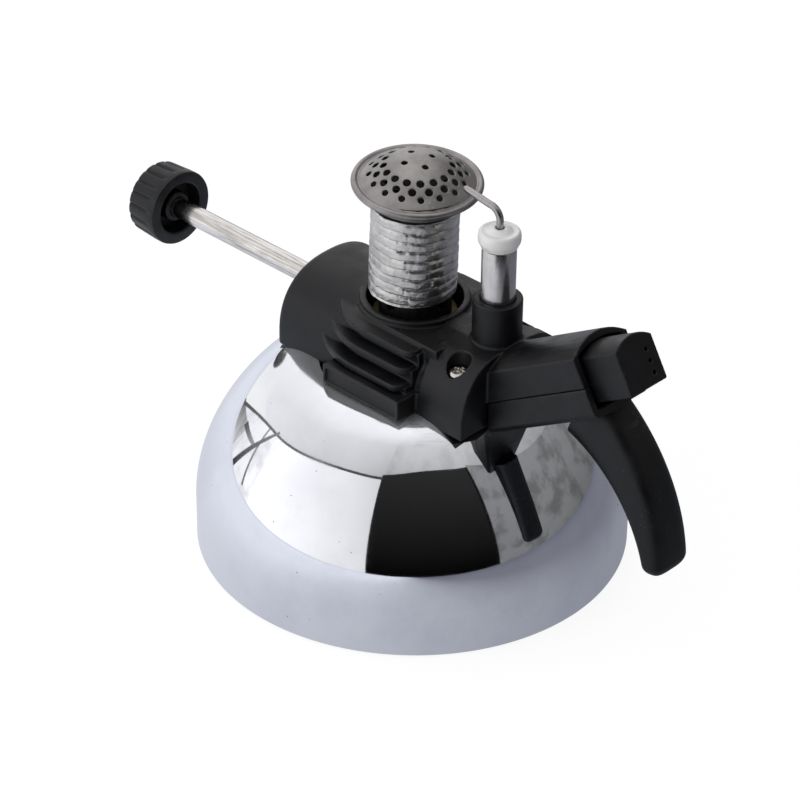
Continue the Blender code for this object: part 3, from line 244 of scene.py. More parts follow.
def makePlastic(name, grain, depth):
    material, tree, shader = startMaterial(name)
    skin = useGroup(tree, "mouldSkin", Grain=grain, Waves=plastic["waves"])
    rubAndSheen = useGroup(tree, "edgeWearAndSheen", Low=plastic["rubLow"], High=plastic["rubHigh"])
    specks = useGroup(tree, "dustSpecks", Scale=plastic["speckScale"], Amount=plastic["specks"])
    body = mixColour(tree, skin["Cloud"], plastic["dark"], plastic["pale"])
    # convex edges made lighter: wear, and a painted highlight
    wornAndSheen = mixColour(tree, rubAndSheen["Mask"], body, plastic["rubbedAndSheen"])
    dust = scaled(tree, specks["Mask"], plastic["dustShare"])
    feed(tree, mixColour(tree, dust, wornAndSheen, plastic["dust"]), shader["Base Color"])
    rough = between(tree, skin["Cloud"], plastic["smooth"], plastic["rough"])
    feed(tree, rough, shader["Roughness"])
    shader["Specular IOR Level"].default_value = plastic["gloss"]
    bumpInto(tree, shader, skin["Height"], depth, plastic["bump"])
    return material


chromeLook = dict(bright=(0.86, 0.87, 0.895), dull=(0.78, 0.79, 0.825), speck=(0.20, 0.19, 0.19),
                  wipes=46.0, speckScale=430.0, specks=0.075, grain=900.0, waves=70.0, haze=0.022,
                  wipeHaze=0.030, streakHaze=0.016, speckHaze=0.14, relief=0.004, bump=0.0002,
                  seatOut=0.031, seatIn=0.0245, seatLow=0.0365, seatHigh=0.0385, seatHaze=0.07,
                  seatDull=-0.18)


def seatRing(tree):  # plating left duller round the pressed seat
    coords = addNode(tree, "ShaderNodeTexCoord").outputs["Object"]
    apart = addNode(tree, "ShaderNodeSeparateXYZ", {0: coords}).outputs
    squares = [mathNode(tree, "POWER", apart[axis], 2.0) for axis in "XY"]
    away = mathNode(tree, "SQRT", addUp(tree, *squares), 0.0)
    near = softStep(tree, away, chromeLook["seatOut"], chromeLook["seatIn"])
    high = softStep(tree, apart["Z"], chromeLook["seatLow"], chromeLook["seatHigh"])
    return scaled(tree, near, high)


def makeChrome():
    look = chromeLook
    material, tree, shader = startMaterial("chromePlate", 1.0)
    marks = useGroup(tree, "wipeMarks", Scale=look["wipes"])
    specks = useGroup(tree, "dustSpecks", Scale=look["speckScale"], Amount=look["specks"])
    skin = useGroup(tree, "mouldSkin", Grain=look["grain"], Waves=look["waves"])
    tint = mixColour(tree, marks["Mask"], look["bright"], look["dull"])
    feed(tree, mixColour(tree, specks["Mask"], tint, look["speck"]), shader["Base Color"])
    ring = seatRing(tree)
    haze = addUp(tree, scaled(tree, marks["Mask"], look["wipeHaze"]),
                 scaled(tree, marks["Streak"], look["streakHaze"]), look["haze"],
                 scaled(tree, specks["Mask"], look["speckHaze"]),
                 scaled(tree, ring, look["seatHaze"]))
    feed(tree, haze, shader["Roughness"])
    feed(tree, addUp(tree, scaled(tree, ring, look["seatDull"]), 1.0), shader["Metallic"])
    bumpInto(tree, shader, skin["Height"], look["relief"], look["bump"])
    return material


metalWear = dict(rubLow=0.51, rubHigh=0.60, rubShare=0.5, wipes=150.0, streak=(0.44, 0.60),
                 bump=0.00004)
metalLooks = {
    "drawnSteel": dict(bright=(0.78, 0.755, 0.72), dull=(0.40, 0.378, 0.35),
                       edge=(0.82, 0.81, 0.78), along=(0.06, 1.6, 1.6),
                       smooth=0.10, rough=0.24, haze=0.05, relief=0.10, streak=0.85),
    "polishedTube": dict(bright=(0.60, 0.575, 0.56), dull=(0.52, 0.50, 0.485),
                         edge=(0.76, 0.75, 0.73), along=(1.6, 1.6, 0.08),
                         smooth=0.20, rough=0.30, haze=0.04, relief=0.06, streak=0.45),
    "wireSteel": dict(bright=(0.42, 0.40, 0.39), dull=(0.33, 0.32, 0.31),
                      edge=(0.60, 0.59, 0.57), along=(1.2, 1.2, 0.2),
                      smooth=0.20, rough=0.34, haze=0.05, relief=0.08, streak=0.3),
    "satinSteel": dict(bright=(0.355, 0.338, 0.326), dull=(0.255, 0.243, 0.234),
                       edge=(0.52, 0.505, 0.49), along=(1.0, 1.0, 1.0),
                       smooth=0.34, rough=0.48, haze=0.05, relief=0.10),
    # near-black steel for the gauze and mixing tube: painted shade, so that the cap's holes and the
    # well read dark inside
    "paintedShadeSteel": dict(bright=(0.050, 0.047, 0.044), dull=(0.026, 0.024, 0.022),
                        edge=(0.10, 0.095, 0.09), along=(1.0, 1.0, 1.0),
                        smooth=0.48, rough=0.66, haze=0.05, relief=0.14),
    "foilRibbon": dict(bright=(0.66, 0.645, 0.615), dull=(0.46, 0.447, 0.425),
                       edge=(0.72, 0.71, 0.69), along=(0.8, 0.8, 2.2),
                       smooth=0.24, rough=0.42, haze=0.08, relief=0.35),
    "turnedBrass": dict(bright=(0.36, 0.26, 0.11), dull=(0.24, 0.165, 0.065),
                        edge=(0.50, 0.38, 0.18), along=(0.3, 0.3, 2.4),
                        smooth=0.28, rough=0.48, haze=0.08, relief=0.14),
    # near-black brass for the valve body and jet deep in the well: painted shade where the well is
    # shaded
    "paintedShadeBrass": dict(bright=(0.085, 0.066, 0.028), dull=(0.045, 0.036, 0.015),
                        edge=(0.16, 0.125, 0.06), along=(0.3, 0.3, 2.4),
                        smooth=0.40, rough=0.60, haze=0.08, relief=0.14),
    "platedScrew": dict(bright=(0.74, 0.72, 0.66), dull=(0.58, 0.56, 0.50),
                        edge=(0.88, 0.86, 0.82), along=(1.0, 1.0, 1.0),
                        smooth=0.16, rough=0.32, haze=0.08, relief=0.10),
}


def makeMetal(name, look):
    material, tree, shader = startMaterial(name, 1.0)
    along = {"Along_" + axis: share for axis, share in zip("XYZ", look["along"])}
    lines = useGroup(tree, "drawnLines", **along)
    rubAndSheen = useGroup(tree, "edgeWearAndSheen", Low=metalWear["rubLow"], High=metalWear["rubHigh"])
    marks = useGroup(tree, "wipeMarks", Scale=metalWear["wipes"])
    streak = look.get("streak", 0.0)
    streaks = scaled(tree, softStep(tree, lines["Lines"], *metalWear["streak"]), streak)
    patches = scaled(tree, lines["Patches"], 1.0 - streak)
    grey = mixColour(tree, addUp(tree, streaks, patches), look["bright"], look["dull"])
    edge = scaled(tree, rubAndSheen["Mask"], metalWear["rubShare"])
    feed(tree, mixColour(tree, edge, grey, look["edge"]), shader["Base Color"])
    rough = between(tree, lines["Lines"], look["smooth"], look["rough"])
    haze = scaled(tree, marks["Mask"], look["haze"])
    feed(tree, addUp(tree, rough, haze), shader["Roughness"])
    bumpInto(tree, shader, lines["Lines"], look["relief"], metalWear["bump"])
    return material


plainWear = dict(speckScale=650.0, specks=0.10, dustShare=0.5, bump=0.0003)
plainLooks = {
    "footRubber": dict(dark=(0.018, 0.018, 0.019), pale=(0.034, 0.034, 0.035),
                       dust=(0.20, 0.19, 0.18), grain=2600.0, waves=180.0,
                       smooth=0.62, rough=0.82, depth=0.25),
    "feltFibre": dict(dark=(0.60, 0.56, 0.47), pale=(0.80, 0.77, 0.68),
                      dust=(0.88, 0.86, 0.80), grain=3800.0, waves=700.0,
                      smooth=0.84, rough=0.96, depth=0.60),
    "leadSleeve": dict(dark=(0.060, 0.060, 0.065), pale=(0.10, 0.10, 0.108),
                       dust=(0.24, 0.24, 0.24), grain=3000.0, waves=240.0,
                       smooth=0.44, rough=0.62, depth=0.15),
    "glazedCeramic": dict(dark=(0.80, 0.79, 0.78), pale=(0.74, 0.73, 0.725),
                          dust=(0.45, 0.42, 0.38), grain=2400.0, waves=300.0,
                          smooth=0.22, rough=0.40, depth=0.05, speckScale=900.0, specks=0.06,
                          dustShare=1.0, bump=0.0001, under=0.12, underDepth=0.001),
}


def makePlain(name, ownLook):  # rubber, fibre, the lead's sleeve and the ceramic
    look = {**plainWear, **ownLook}
    material, tree, shader = startMaterial(name)
    skin = useGroup(tree, "mouldSkin", Grain=look["grain"], Waves=look["waves"])
    specks = useGroup(tree, "dustSpecks", Scale=look["speckScale"], Amount=look["specks"])
    body = mixColour(tree, skin["Cloud"], look["dark"], look["pale"])
    dust = scaled(tree, specks["Mask"], look["dustShare"])
    feed(tree, mixColour(tree, dust, body, look["dust"]), shader["Base Color"])
    rough = between(tree, skin["Cloud"], look["smooth"], look["rough"])
    feed(tree, rough, shader["Roughness"])
    if "under" in look:  # light that goes into the glaze
        shader["Subsurface Weight"].default_value = look["under"]
        shader["Subsurface Scale"].default_value = look["underDepth"]
    bumpInto(tree, shader, skin["Height"], look["depth"], look["bump"])
    return material


materials = {name: makeMetal(name, look) for name, look in metalLooks.items()}
materials.update({name: makePlain(name, look) for name, look in plainLooks.items()})
materials["chromePlate"] = makeChrome()
materials["satinPlastic"] = makePlastic("satinPlastic", grain=5200.0, depth=0.16)
materials["knobPlastic"] = makePlastic("knobPlastic", grain=4200.0, depth=0.22)
print("materials:", len(materials))


# mesh helpers, all in millimetres

def circle(count):  # unit circle as pairs
    return [(math.cos(fullTurn * step / count), math.sin(fullTurn * step / count))
            for step in range(count)]


def roundOutline(centre, radius, count):
    return [(centre[0] + radius * x, centre[1] + radius * y) for x, y in circle(count)]


def arcPoints(centre, radius, start, end, count):
    angles = [start + (end - start) * step / count for step in range(count + 1)]
    return [(centre[0] + radius * math.cos(angle), centre[1] + radius * math.sin(angle))
            for angle in angles]


def squared(value, power):  # bends a sine or cosine towards a square
    return math.copysign(abs(value) ** power, value)


def skinRings(mesh, rings, steps, closed):
    pairs = list(zip(rings, rings[1:]))
    if closed:
        pairs.append((rings[-1], rings[0]))
    for lower, upper in pairs:
        for step in range(steps):
            after = (step + 1) % steps
            corners = [lower[step % len(lower)], lower[after % len(lower)],
                       upper[after % len(upper)], upper[step % len(upper)]]
            corners = list(dict.fromkeys(corners))
            if len(corners) > 2:
                mesh.faces.new(corners)


def latheInto(mesh, profile, steps, closed, centre=(0.0, 0.0)):
    rings = []
    for radius, height in profile:
        outline = roundOutline(centre, radius, steps) if radius > pointSize else [centre]
        rings.append([mesh.verts.new((x, y, height)) for x, y in outline])
    skinRings(mesh, rings, steps, closed)


def drumInto(mesh, radius, low, high, steps, centre=(0.0, 0.0)):
    latheInto(mesh, [(0.0, low), (radius, low), (radius, high), (0.0, high)], steps, False, centre)


def loftInto(mesh, rings):  # rings of equal length, closed by a face at both ends
    made = [[mesh.verts.new(place) for place in ring] for ring in rings]
    skinRings(mesh, made, len(made[0]), False)
    mesh.faces.new(made[0])
    mesh.faces.new(made[-1])


def planInto(mesh, outline, low, high):
    loftInto(mesh, [[(x, y, height) for x, y in outline] for height in (low, high)])


def sectionInto(mesh, outline, start, end):
    loftInto(mesh, [[(x, y, z) for y, z in outline] for x in (start, end)])


def armInto(mesh, outline, start, end):
    loftInto(mesh, [[armPlace(along, across, square) for across, square in outline]
                    for along in (start, end)])


def boxInto(mesh, low, high):
    outline = [(low[0], low[1]), (high[0], low[1]), (high[0], high[1]), (low[0], high[1])]
    planInto(mesh, outline, low[2], high[2])


def putObject(name, data):
    made = bpy.data.objects.new(name, data)
    bpy.context.scene.collection.objects.link(made)
    return made


def meshData(name, mesh):
    data = bpy.data.meshes.new(name)
    mesh.to_mesh(data)
    mesh.free()
    return data


def tempObject(name, mesh):
    bmesh.ops.recalc_face_normals(mesh, faces=mesh.faces)
    return putObject(name, meshData(name, mesh))


def settled(temp, *helpers):  # the mesh with its modifiers applied, helpers removed
    graph = bpy.context.evaluated_depsgraph_get()
    data = bpy.data.meshes.new_from_object(temp.evaluated_get(graph))
    for item in (temp, *helpers):
        bpy.data.objects.remove(item, do_unlink=True)
    return data


def moulded(name, solids, cuts, voxel, passes):  # one rounded body from overlapping solids
    body = tempObject(name, solids)
    cutter = tempObject(name + "Cuts", cuts)
    trim = body.modifiers.new("cuts", "BOOLEAN")
    trim.operation = "DIFFERENCE"
    trim.solver = "EXACT"
    trim.use_self = True
    trim.object = cutter
    even = body.modifiers.new("even", "REMESH")
    even.mode = "VOXEL"
    even.voxel_size = voxel
    smooth = body.modifiers.new("soften", "SMOOTH")
    smooth.factor = 0.5
    smooth.iterations = passes
    return settled(body, cutter)


def addPiece(name, data, body, look, replaced, sharp=None):
    data.transform(Matrix.Scale(toMetres, 4))
    data.name = name
    data.shade_smooth()
    if sharp is not None:
        data.set_sharp_from_angle(angle=math.radians(sharp))
    data.materials.clear()
    data.materials.append(materials[look])
    piece = putObject(name, data)
    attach(piece, body)
    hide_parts(*replaced)
    return piece


def drawnPiece(name, mesh, body, look, replaced, sharp):
    data = settled(tempObject(name, mesh))
    return addPiece(name, data, body, look, replaced, sharp)


def turnedPiece(name, profile, look, replaced, steps, sharp, centre=(0.0, 0.0)):
    mesh = bmesh.new()
    latheInto(mesh, profile, steps, True, centre)
    return drawnPiece(name, mesh, mainBody, look, replaced, sharp)


# tank

tank = dict(radius=45.0, wall=0.8, sideShare=0.6, straight=10.4, crown=51.3, roundness=1.8,
            turn=48.0, points=44, crest=2.35, crestPoints=24, seat=18.8, seatFillet=0.25,
            crestStart=0.45, crestLip=(0.65, 0.1), innerCrest=1.2, innerSeat=0.9, neck=5.3,
            footGap=0.4, edge=0.8, edgePoints=5, steps=192)
# the ring round the seat, as it is cut out of the mouldings above it
ringCut = dict(points=14, deep=6.0, inside=0.2, bend=(0.35, 0.3), lip=0.6, steps=120)
crestZ = deckZ + tank["crest"]


def tankCurve():
    power = 2.0 / tank["roundness"]
    rise = tank["crown"] - tank["straight"]
    curve = []
    for step in range(tank["points"] + 1):
        turn = math.radians(tank["turn"]) * (1.0 - step / tank["points"])
        curve.append((tank["radius"] * math.cos(turn) ** power,
                      tank["straight"] + rise * math.sin(turn) ** power))
    return curve


def crestRun():  # rounded ring above the dome's side, from its top outward
    start, after = tankCurve()[:2]
    slope = math.atan2(start[1] - after[1], after[0] - start[0])
    bend = (crestZ - start[1]) / (1.0 - math.cos(slope))
    middle = start[0] - bend * math.sin(slope)
    angles = [slope * step / tank["crestPoints"] for step in range(tank["crestPoints"])]
    return [(middle + bend * math.sin(angle), crestZ - bend * (1.0 - math.cos(angle)))
            for angle in angles]


def seatRingInto(mesh, lift):
    seat, inside = tank["seat"], tank["seat"] + ringCut["inside"]
    run = [(radius, height + lift)
           for radius, height in crestRun() + tankCurve()[:ringCut["points"]]]
    lowZ = deckZ - ringCut["deep"]
    run += [(run[-1][0], lowZ), (inside, lowZ), (inside, deckZ)]
    run += [(seat + ringCut["bend"][0], crestZ - ringCut["bend"][1])]
    run += [(seat + ringCut["lip"], crestZ + lift)]
    latheInto(mesh, run, ringCut["steps"], True)


def makeTank():
    curve = tankCurve()
    wall, edge, seat = tank["wall"], tank["edge"], tank["seat"]
    footZ = tank["footGap"] + edge
    outer = [(tank["neck"], deckZ), (seat, deckZ)]
    outer += [(seat + tank["seatFillet"], deckZ + tank["seatFillet"])]
    outer += [(seat + tank["crestStart"], crestZ - tank["crestStart"])]
    outer += [(seat + tank["crestLip"][0], crestZ - tank["crestLip"][1])]
    outer += crestRun() + curve + [(tank["radius"], footZ)]
    corner = (tank["radius"] - edge, footZ)
    outer += arcPoints(corner, edge, 0.0, -quarterTurn, tank["edgePoints"])[1:]
    inner = [(tank["radius"] - wall, footZ), (tank["radius"] - wall, tank["straight"])]
    inner += [(radius - wall, height - wall * tank["sideShare"])
              for radius, height in reversed(curve[:-1])]
    inner += [(seat + tank["innerCrest"], crestZ - wall), (seat + tank["innerSeat"], deckZ - wall)]
    inner += [(tank["neck"], deckZ - wall)]
    turnedPiece("tankDome", outer + inner, "chromePlate", ["tank_shell"],
                tank["steps"], sharp=50)


makeTank()
print("tank done")


# housing cover, heights above the tank top

cover = dict(left=-25.0, right=27.0, half=14.6, springLine=3.5, top=17.7, roundness=2.4,
             archPoints=20, wall=1.8, foot=1.35, core=11.6, coreSink=0.1, plateau=16.0, well=9.8,
             wellFloor=13.5, collar=1.4, collarTop=17.2, blockLeft=15.0, blockHalf=15.0,
             blockStraight=4.5, blockTop=17.1, blockSink=0.6, blockTurn=75.0, blockPoints=14,
             ridge=16.4, channel=5.2, channelTop=14.6, bossX=22.2, boss=5.0, bossTop=26.1,
             bossBore=3.56, rodBore=2.5, wellSteps=96, bossSteps=72, panel=3.6, panelSink=0.6,
             panelLow=0.3, panelOver=0.5,
             endRounds=((1.2, 0.0), (0.55, 0.15), (0.15, 0.55), (0.0, 1.2)), voxel=0.22, passes=3)
# how far the cutters run past the cover, each by its own amount so that no faces meet
coverCut = dict(wide=60.0, deep=40.0, ringGap=0.1, wellLow=0.9, wellOver=2.0, shellLow=1.1,
                channelLow=1.2, channelOver=0.5, bossOver=1.0, rodOver=2.0, headOver=3.0,
                shankLow=1.3, shankOver=0.5, boreSteps=64, headSteps=48, rodSteps=40, shankSteps=32)
fins = dict(count=3, radius=15.0, step=1.8, top=15.3, pitch=3.2, thick=1.4, groove=1.9, end=13.0,
            endStep=0.07, taper=2.2, webEnd=0.5, webStep=0.06, sink=0.2, sinkStep=0.1,
            roundPoints=48, taperPoints=8)
lug = dict(left=-6.2, right=14.6, front=20.2, low=2.6, high=7.0, border=0.75, recess=0.6)
screw = dict(x=21.5, y=10.0, head=2.1, headHigh=1.3, shank=1.2, shankGap=0.3, seat=11.8, gap=0.3,
             crown=((0.0, 0.0), (0.9, 0.03), (1.6, 0.2), (2.0, 0.5)), crownLow=0.9,
             slot=(1.25, 0.32), slotDeep=0.75, slotOver=1.0, steps=48, voxel=0.12, passes=2)


def archOutline(half, low, springLine, top):
    power = 2.0 / cover["roundness"]
    count = 2 * cover["archPoints"]
    outline = [(-half, low)]
    for step in range(count + 1):
        angle = math.pi - math.pi * step / count
        outline.append((half * squared(math.cos(angle), power),
                        springLine + (top - springLine) * math.sin(angle) ** power))
    return outline + [(half, low)]


def stadiumOutline(radius, end, taper=0.0):
    back = 3 * math.pi / 2
    outline = arcPoints((0.0, 0.0), radius, quarterTurn, back, fins["roundPoints"])
    if taper == 0.0:
        return outline + [(end, -radius), (end, radius)]
    middle = (end - taper, taper - radius)
    corner = arcPoints(middle, taper, -quarterTurn, 0.0, fins["taperPoints"])
    return outline + corner + [(x, -y) for x, y in reversed(corner)]


def blockOutline(low):
    half, ridge, start = cover["blockHalf"], deckZ + cover["ridge"], deckZ + cover["blockStraight"]
    limit = math.radians(cover["blockTurn"])
    right = [(half, low)]
    for step in range(cover["blockPoints"] + 1):
        angle = limit * step / cover["blockPoints"]
        inset = (1.0 - math.cos(angle)) / (1.0 - math.cos(limit))
        right.append((half - (half - arm["half"]) * inset,
                      start + (ridge - start) * math.sin(angle) / math.sin(limit)))
    right.append((arm["half"] / 2, deckZ + cover["blockTop"]))
    return right + [(-across, height) for across, height in reversed(right)]


def hoodOutline(half, low, shoulder, crown):
    outline = [(-half, low), (half, low), (half, shoulder)]
    for step in range(1, arm["hoodPoints"]):
        share = 1.0 - 2.0 * step / arm["hoodPoints"]
        outline.append((half * share, shoulder + crown * (1.0 - share * share)))
    return outline + [(-half, shoulder)]


def armHollowInto(mesh, start):
    wall = arm["wall"]
    inside = hoodOutline(arm["half"] - wall, arm["low"] + wall, arm["shoulder"],
                         arm["crown"] - wall)
    armInto(mesh, inside, start, arm["length"] + arm["over"])


def coverSolids():
    mesh = bmesh.new()
    springZ, topZ = deckZ + cover["springLine"], deckZ + cover["top"]
    rings = []
    for inset, setBack in cover["endRounds"]:
        outline = archOutline(cover["half"] - inset, deckZ, springZ, topZ - inset)
        rings.append([(cover["left"] + setBack, y, z) for y, z in outline])
    rings.append([(0.0, y, z) for x, y, z in rings[-1]])
    loftInto(mesh, rings)
    core = stadiumOutline(cover["core"], cover["blockLeft"] + cover["wall"])
    planInto(mesh, core, deckZ - cover["coreSink"], deckZ + cover["plateau"])
    for number in range(fins["count"]):
        radius = fins["radius"] + number * fins["step"]
        top = deckZ + fins["top"] - number * fins["pitch"]
        web = stadiumOutline(radius - fins["groove"],
                             fins["end"] + fins["webEnd"] - fins["webStep"] * number)
        planInto(mesh, web, deckZ - fins["sink"] - fins["sinkStep"] * number,
                 top - fins["thick"] / 2)
        fin = stadiumOutline(radius, fins["end"] - fins["endStep"] * number, fins["taper"])
        planInto(mesh, fin, top - fins["thick"], top)
    boxInto(mesh, (lug["left"], -lug["front"], deckZ + lug["low"]),
            (lug["right"], lug["front"], deckZ + lug["high"]))
    left, sink = cover["blockLeft"], cover["panelSink"]
    sectionInto(mesh, blockOutline(deckZ - cover["blockSink"]), left, cover["right"])
    panel = [(across - math.copysign(sink, across), height - sink)
             for across, height in blockOutline(deckZ - cover["panelLow"])]
    sectionInto(mesh, panel, left - cover["panel"], left + cover["panelOver"])
    hood = hoodOutline(arm["half"], 0.0, arm["shoulder"], arm["crown"])
    armInto(mesh, hood, 0.0, arm["length"])
    drumInto(mesh, cover["well"] + cover["collar"], deckZ + cover["wellFloor"],
             deckZ + cover["collarTop"], cover["wellSteps"])
    drumInto(mesh, cover["boss"], deckZ + cover["channelTop"], deckZ + cover["bossTop"],
             cover["bossSteps"], (cover["bossX"], 0.0))
    return mesh


def coverCuts():
    mesh = bmesh.new()
    wall, foot, topZ = cover["wall"], deckZ + cover["foot"], deckZ + cover["top"]
    channelZ = deckZ + cover["channelTop"]
    boxInto(mesh, (-coverCut["wide"], -coverCut["deep"], 0.0),
            (coverCut["wide"], coverCut["deep"], foot))
    seatRingInto(mesh, coverCut["ringGap"])
    drumInto(mesh, cover["well"], foot - coverCut["wellLow"], topZ + coverCut["wellOver"],
             cover["wellSteps"])
    inner = archOutline(cover["half"] - wall, foot - coverCut["shellLow"],
                        deckZ + cover["springLine"], topZ - wall)
    sectionInto(mesh, inner, cover["left"] + wall, -cover["well"] / 2)
    boxInto(mesh, (0.0, -cover["channel"], foot - coverCut["channelLow"]),
            (cover["right"] + coverCut["channelOver"], cover["channel"], channelZ))
    armHollowInto(mesh, -arm["wall"])
    drumInto(mesh, cover["bossBore"], channelZ - coverCut["bossOver"],
             deckZ + cover["bossTop"] + coverCut["bossOver"], coverCut["boreSteps"],
             (cover["bossX"], 0.0))
    rodHole = roundOutline((0.0, rodZ), cover["rodBore"], coverCut["rodSteps"])
    sectionInto(mesh, rodHole, cover["left"] - coverCut["rodOver"], cover["left"] + 2 * wall)
    seatZ = deckZ + screw["seat"]
    for side in (-1, 1):
        spot = (screw["x"], side * screw["y"])
        drumInto(mesh, screw["head"] + screw["gap"], seatZ,
                 deckZ + cover["blockTop"] + coverCut["headOver"], coverCut["headSteps"], spot)
        drumInto(mesh, screw["shank"] + screw["gap"], foot - coverCut["shankLow"],
                 seatZ + coverCut["shankOver"], coverCut["shankSteps"], spot)
        front, border = side * lug["front"], lug["border"]
        boxInto(mesh, (lug["left"] + border, front - lug["recess"], deckZ + lug["low"] + border),
                (lug["right"] - border, front + lug["recess"], deckZ + lug["high"] - border))
    return mesh


coverData = moulded("housingShell", coverSolids(), coverCuts(), cover["voxel"], cover["passes"])
addPiece("housingShell", coverData, mainBody, "satinPlastic", ["housing_cover"])
print("housing shell faces:", len(coverData.polygons))


# base plate in the tank's seat, under the cover

base = dict(low=0.3, high=1.2, half=13.4, reach=18.4, edge=0.3, neck=8.3, neckTop=4.0, neckSteps=64,
            points=24, voxel=0.25, passes=3)


def makeBase():
    solids = bmesh.new()
    low, high, edge = base["low"], base["high"], base["edge"]
    rings = []
    for inset, rise in ((edge, low), (0.0, low + edge), (0.0, high - edge), (edge, high)):
        half, reach = base["half"] - inset, base["reach"] - inset
        turn = math.asin(half / reach)
        outline = []
        for middle in (0.0, math.pi):
            outline += arcPoints((0.0, 0.0), reach, middle - turn, middle + turn, base["points"])
        rings.append([(x, y, deckZ + rise) for x, y in outline])
    loftInto(solids, rings)
    cuts = bmesh.new()
    drumInto(cuts, base["neck"], deckZ, deckZ + base["neckTop"], base["neckSteps"])
    data = moulded("footPlate", solids, cuts, base["voxel"], base["passes"])
    addPiece("footPlate", data, mainBody, "satinPlastic", ["housing_base"])


makeBase()
print("base plate done")


# handle: lower half of the arm with the curved leg

leg = dict(half=5.05, setBack=8.5, rootThick=14.0, tipThick=5.5, tipX=67.3, drop=13.7, bow=3.8,
           points=40, tipPoints=9, sides=40, roundness=0.62, narrowing=0.62)
handleCut = dict(blockLow=(-10.0, -20.0, -8.0), blockHigh=(cover["right"] + 0.3, 20.0, 20.0),
                 deckLow=(-11.0, -21.0, -9.0), deckHigh=(39.0, 21.0, 0.6), ringGap=0.12)


def legRings():
    top = armPlace(arm["length"] - leg["setBack"], 0.0, arm["low"] + arm["wall"] / 2)
    top, tip = Vector((top.x, top.z)), Vector((leg["tipX"], deckZ - leg["drop"]))
    chord = tip - top
    radius = chord.length ** 2 / (8 * leg["bow"]) + leg["bow"] / 2
    outward = Vector((-chord.y, chord.x)).normalized()
    centre = (top + tip) / 2 - outward * (radius - leg["bow"])
    start = math.atan2(top.y - centre.y, top.x - centre.x)
    end = math.atan2(tip.y - centre.y, tip.x - centre.x)
    rings = []
    for step in range(leg["points"] + 1):
        share = step / leg["points"]
        angle = start + (end - start) * share
        thick = leg["rootThick"] + (leg["tipThick"] - leg["rootThick"]) * share
        place = centre + Vector((math.cos(angle), math.sin(angle))) * radius
        rings.append((place, angle, thick / 2, 1.0))
    place, angle, half, _ = rings[-1]
    ahead = Vector((math.sin(angle), -math.cos(angle)))
    for step in range(1, leg["tipPoints"]):  # rounded tip
        turn = quarterTurn * step / leg["tipPoints"]
        rings.append((place + ahead * half * math.sin(turn), angle, half * math.cos(turn),
                      math.cos(turn)))
    return rings


def legSection(place, angle, half, narrow):  # squarish oval across the leg
    wide = leg["half"] - (1.0 - narrow) * leg["half"] * leg["narrowing"]
    outward = Vector((math.cos(angle), math.sin(angle)))
    ring = []
    for x, y in circle(leg["sides"]):
        spot = place + outward * half * squared(x, leg["roundness"])
        ring.append((spot.x, wide * squared(y, leg["roundness"]), spot.y))
    return ring


def handleSolids():
    mesh = bmesh.new()
    loftInto(mesh, [legSection(*ring) for ring in legRings()])
    half, low, edge = arm["half"], arm["low"], arm["edge"]
    lower = [(-half, -arm["split"]), (-half, low + edge), (-half + edge, low)]
    lower += [(-across, height) for across, height in reversed(lower)]
    armInto(mesh, lower, -arm["wall"], arm["length"])
    return mesh


def handleCuts():
    mesh = bmesh.new()
    armHollowInto(mesh, -2 * arm["wall"])
    for part in ("block", "deck"):
        low, high = handleCut[part + "Low"], handleCut[part + "High"]
        boxInto(mesh, (*low[:2], deckZ + low[2]), (*high[:2], deckZ + high[2]))
    seatRingInto(mesh, handleCut["ringGap"])
    return mesh


handleData = moulded("curvedHandle", handleSolids(), handleCuts(), cover["voxel"], cover["passes"])
addPiece("curvedHandle", handleData, mainBody, "satinPlastic", ["handle"])
print("handle faces:", len(handleData.polygons))


# ignition button

button = dict(half=5.2, low=-3.9, shoulder=5.3, crown=1.8, start=24.5, end=39.0, pocket=11.0,
              bore=3.1, boreSides=40, axis=0.7, dimples=3, pitch=2.4, dimple=0.45,
              dimpleSides=20, depth=1.0, over=1.0, voxel=0.2, passes=4)


def buttonMesh():
    solids = bmesh.new()
    hood = hoodOutline(button["half"], button["low"], button["shoulder"], button["crown"])
    armInto(solids, hood, button["start"], button["end"])
    cuts = bmesh.new()
    bore = roundOutline((0.0, button["axis"]), button["bore"], button["boreSides"])
    armInto(cuts, bore, button["start"] - button["over"], button["start"] + button["pocket"])
    for number in range(button["dimples"]):
        middle = (button["low"] + button["shoulder"]) / 2 + (number - 1) * button["pitch"]
        dimple = roundOutline((button["half"] / 2, middle), button["dimple"],
                              button["dimpleSides"])
        armInto(cuts, dimple, button["end"] - button["depth"], button["end"] + button["over"])
    return moulded("pushButton", solids, cuts, button["voxel"], button["passes"])


addPiece("pushButton", buttonMesh(), "igniter_button", "satinPlastic",
         ["ignition_button"])
print("button done")


# gas knob and rod, drawn along +X from the knob's open face

knob = dict(face=-69.2, length=8.1, radius=8.3, taper=0.3, flutes=18, depth=0.4, groove=0.2,
            sharpness=0.8, band=1.2, edge=0.8, edgePoints=6, pocket=5.7, pocketLip=(0.3, 0.25),
            pocketDeep=3.4, pocketDraft=0.2, hub=3.3, hubBack=0.9, hubDraft=0.1, hubEdge=0.3,
            bore=2.35, socket=6.2, steps=288,
            backStep=((0.0, 1.6), (0.12, 1.2), (0.12, 0.5)),  # rise and inset of the back's step
            # ends of the flutes before the plain band, and the rounded edge of the open face
            bandRun=((1.6, 0.05, 1.0), (1.0, 0.0, 0.85), (0.5, 0.0, 0.35), (0.0, 0.0, 0.0)),
            faceRun=((0.5, 0.0), (0.15, 0.12), (0.0, 0.5)))
rod = dict(chamfer=0.3, parts=8, sides=64)


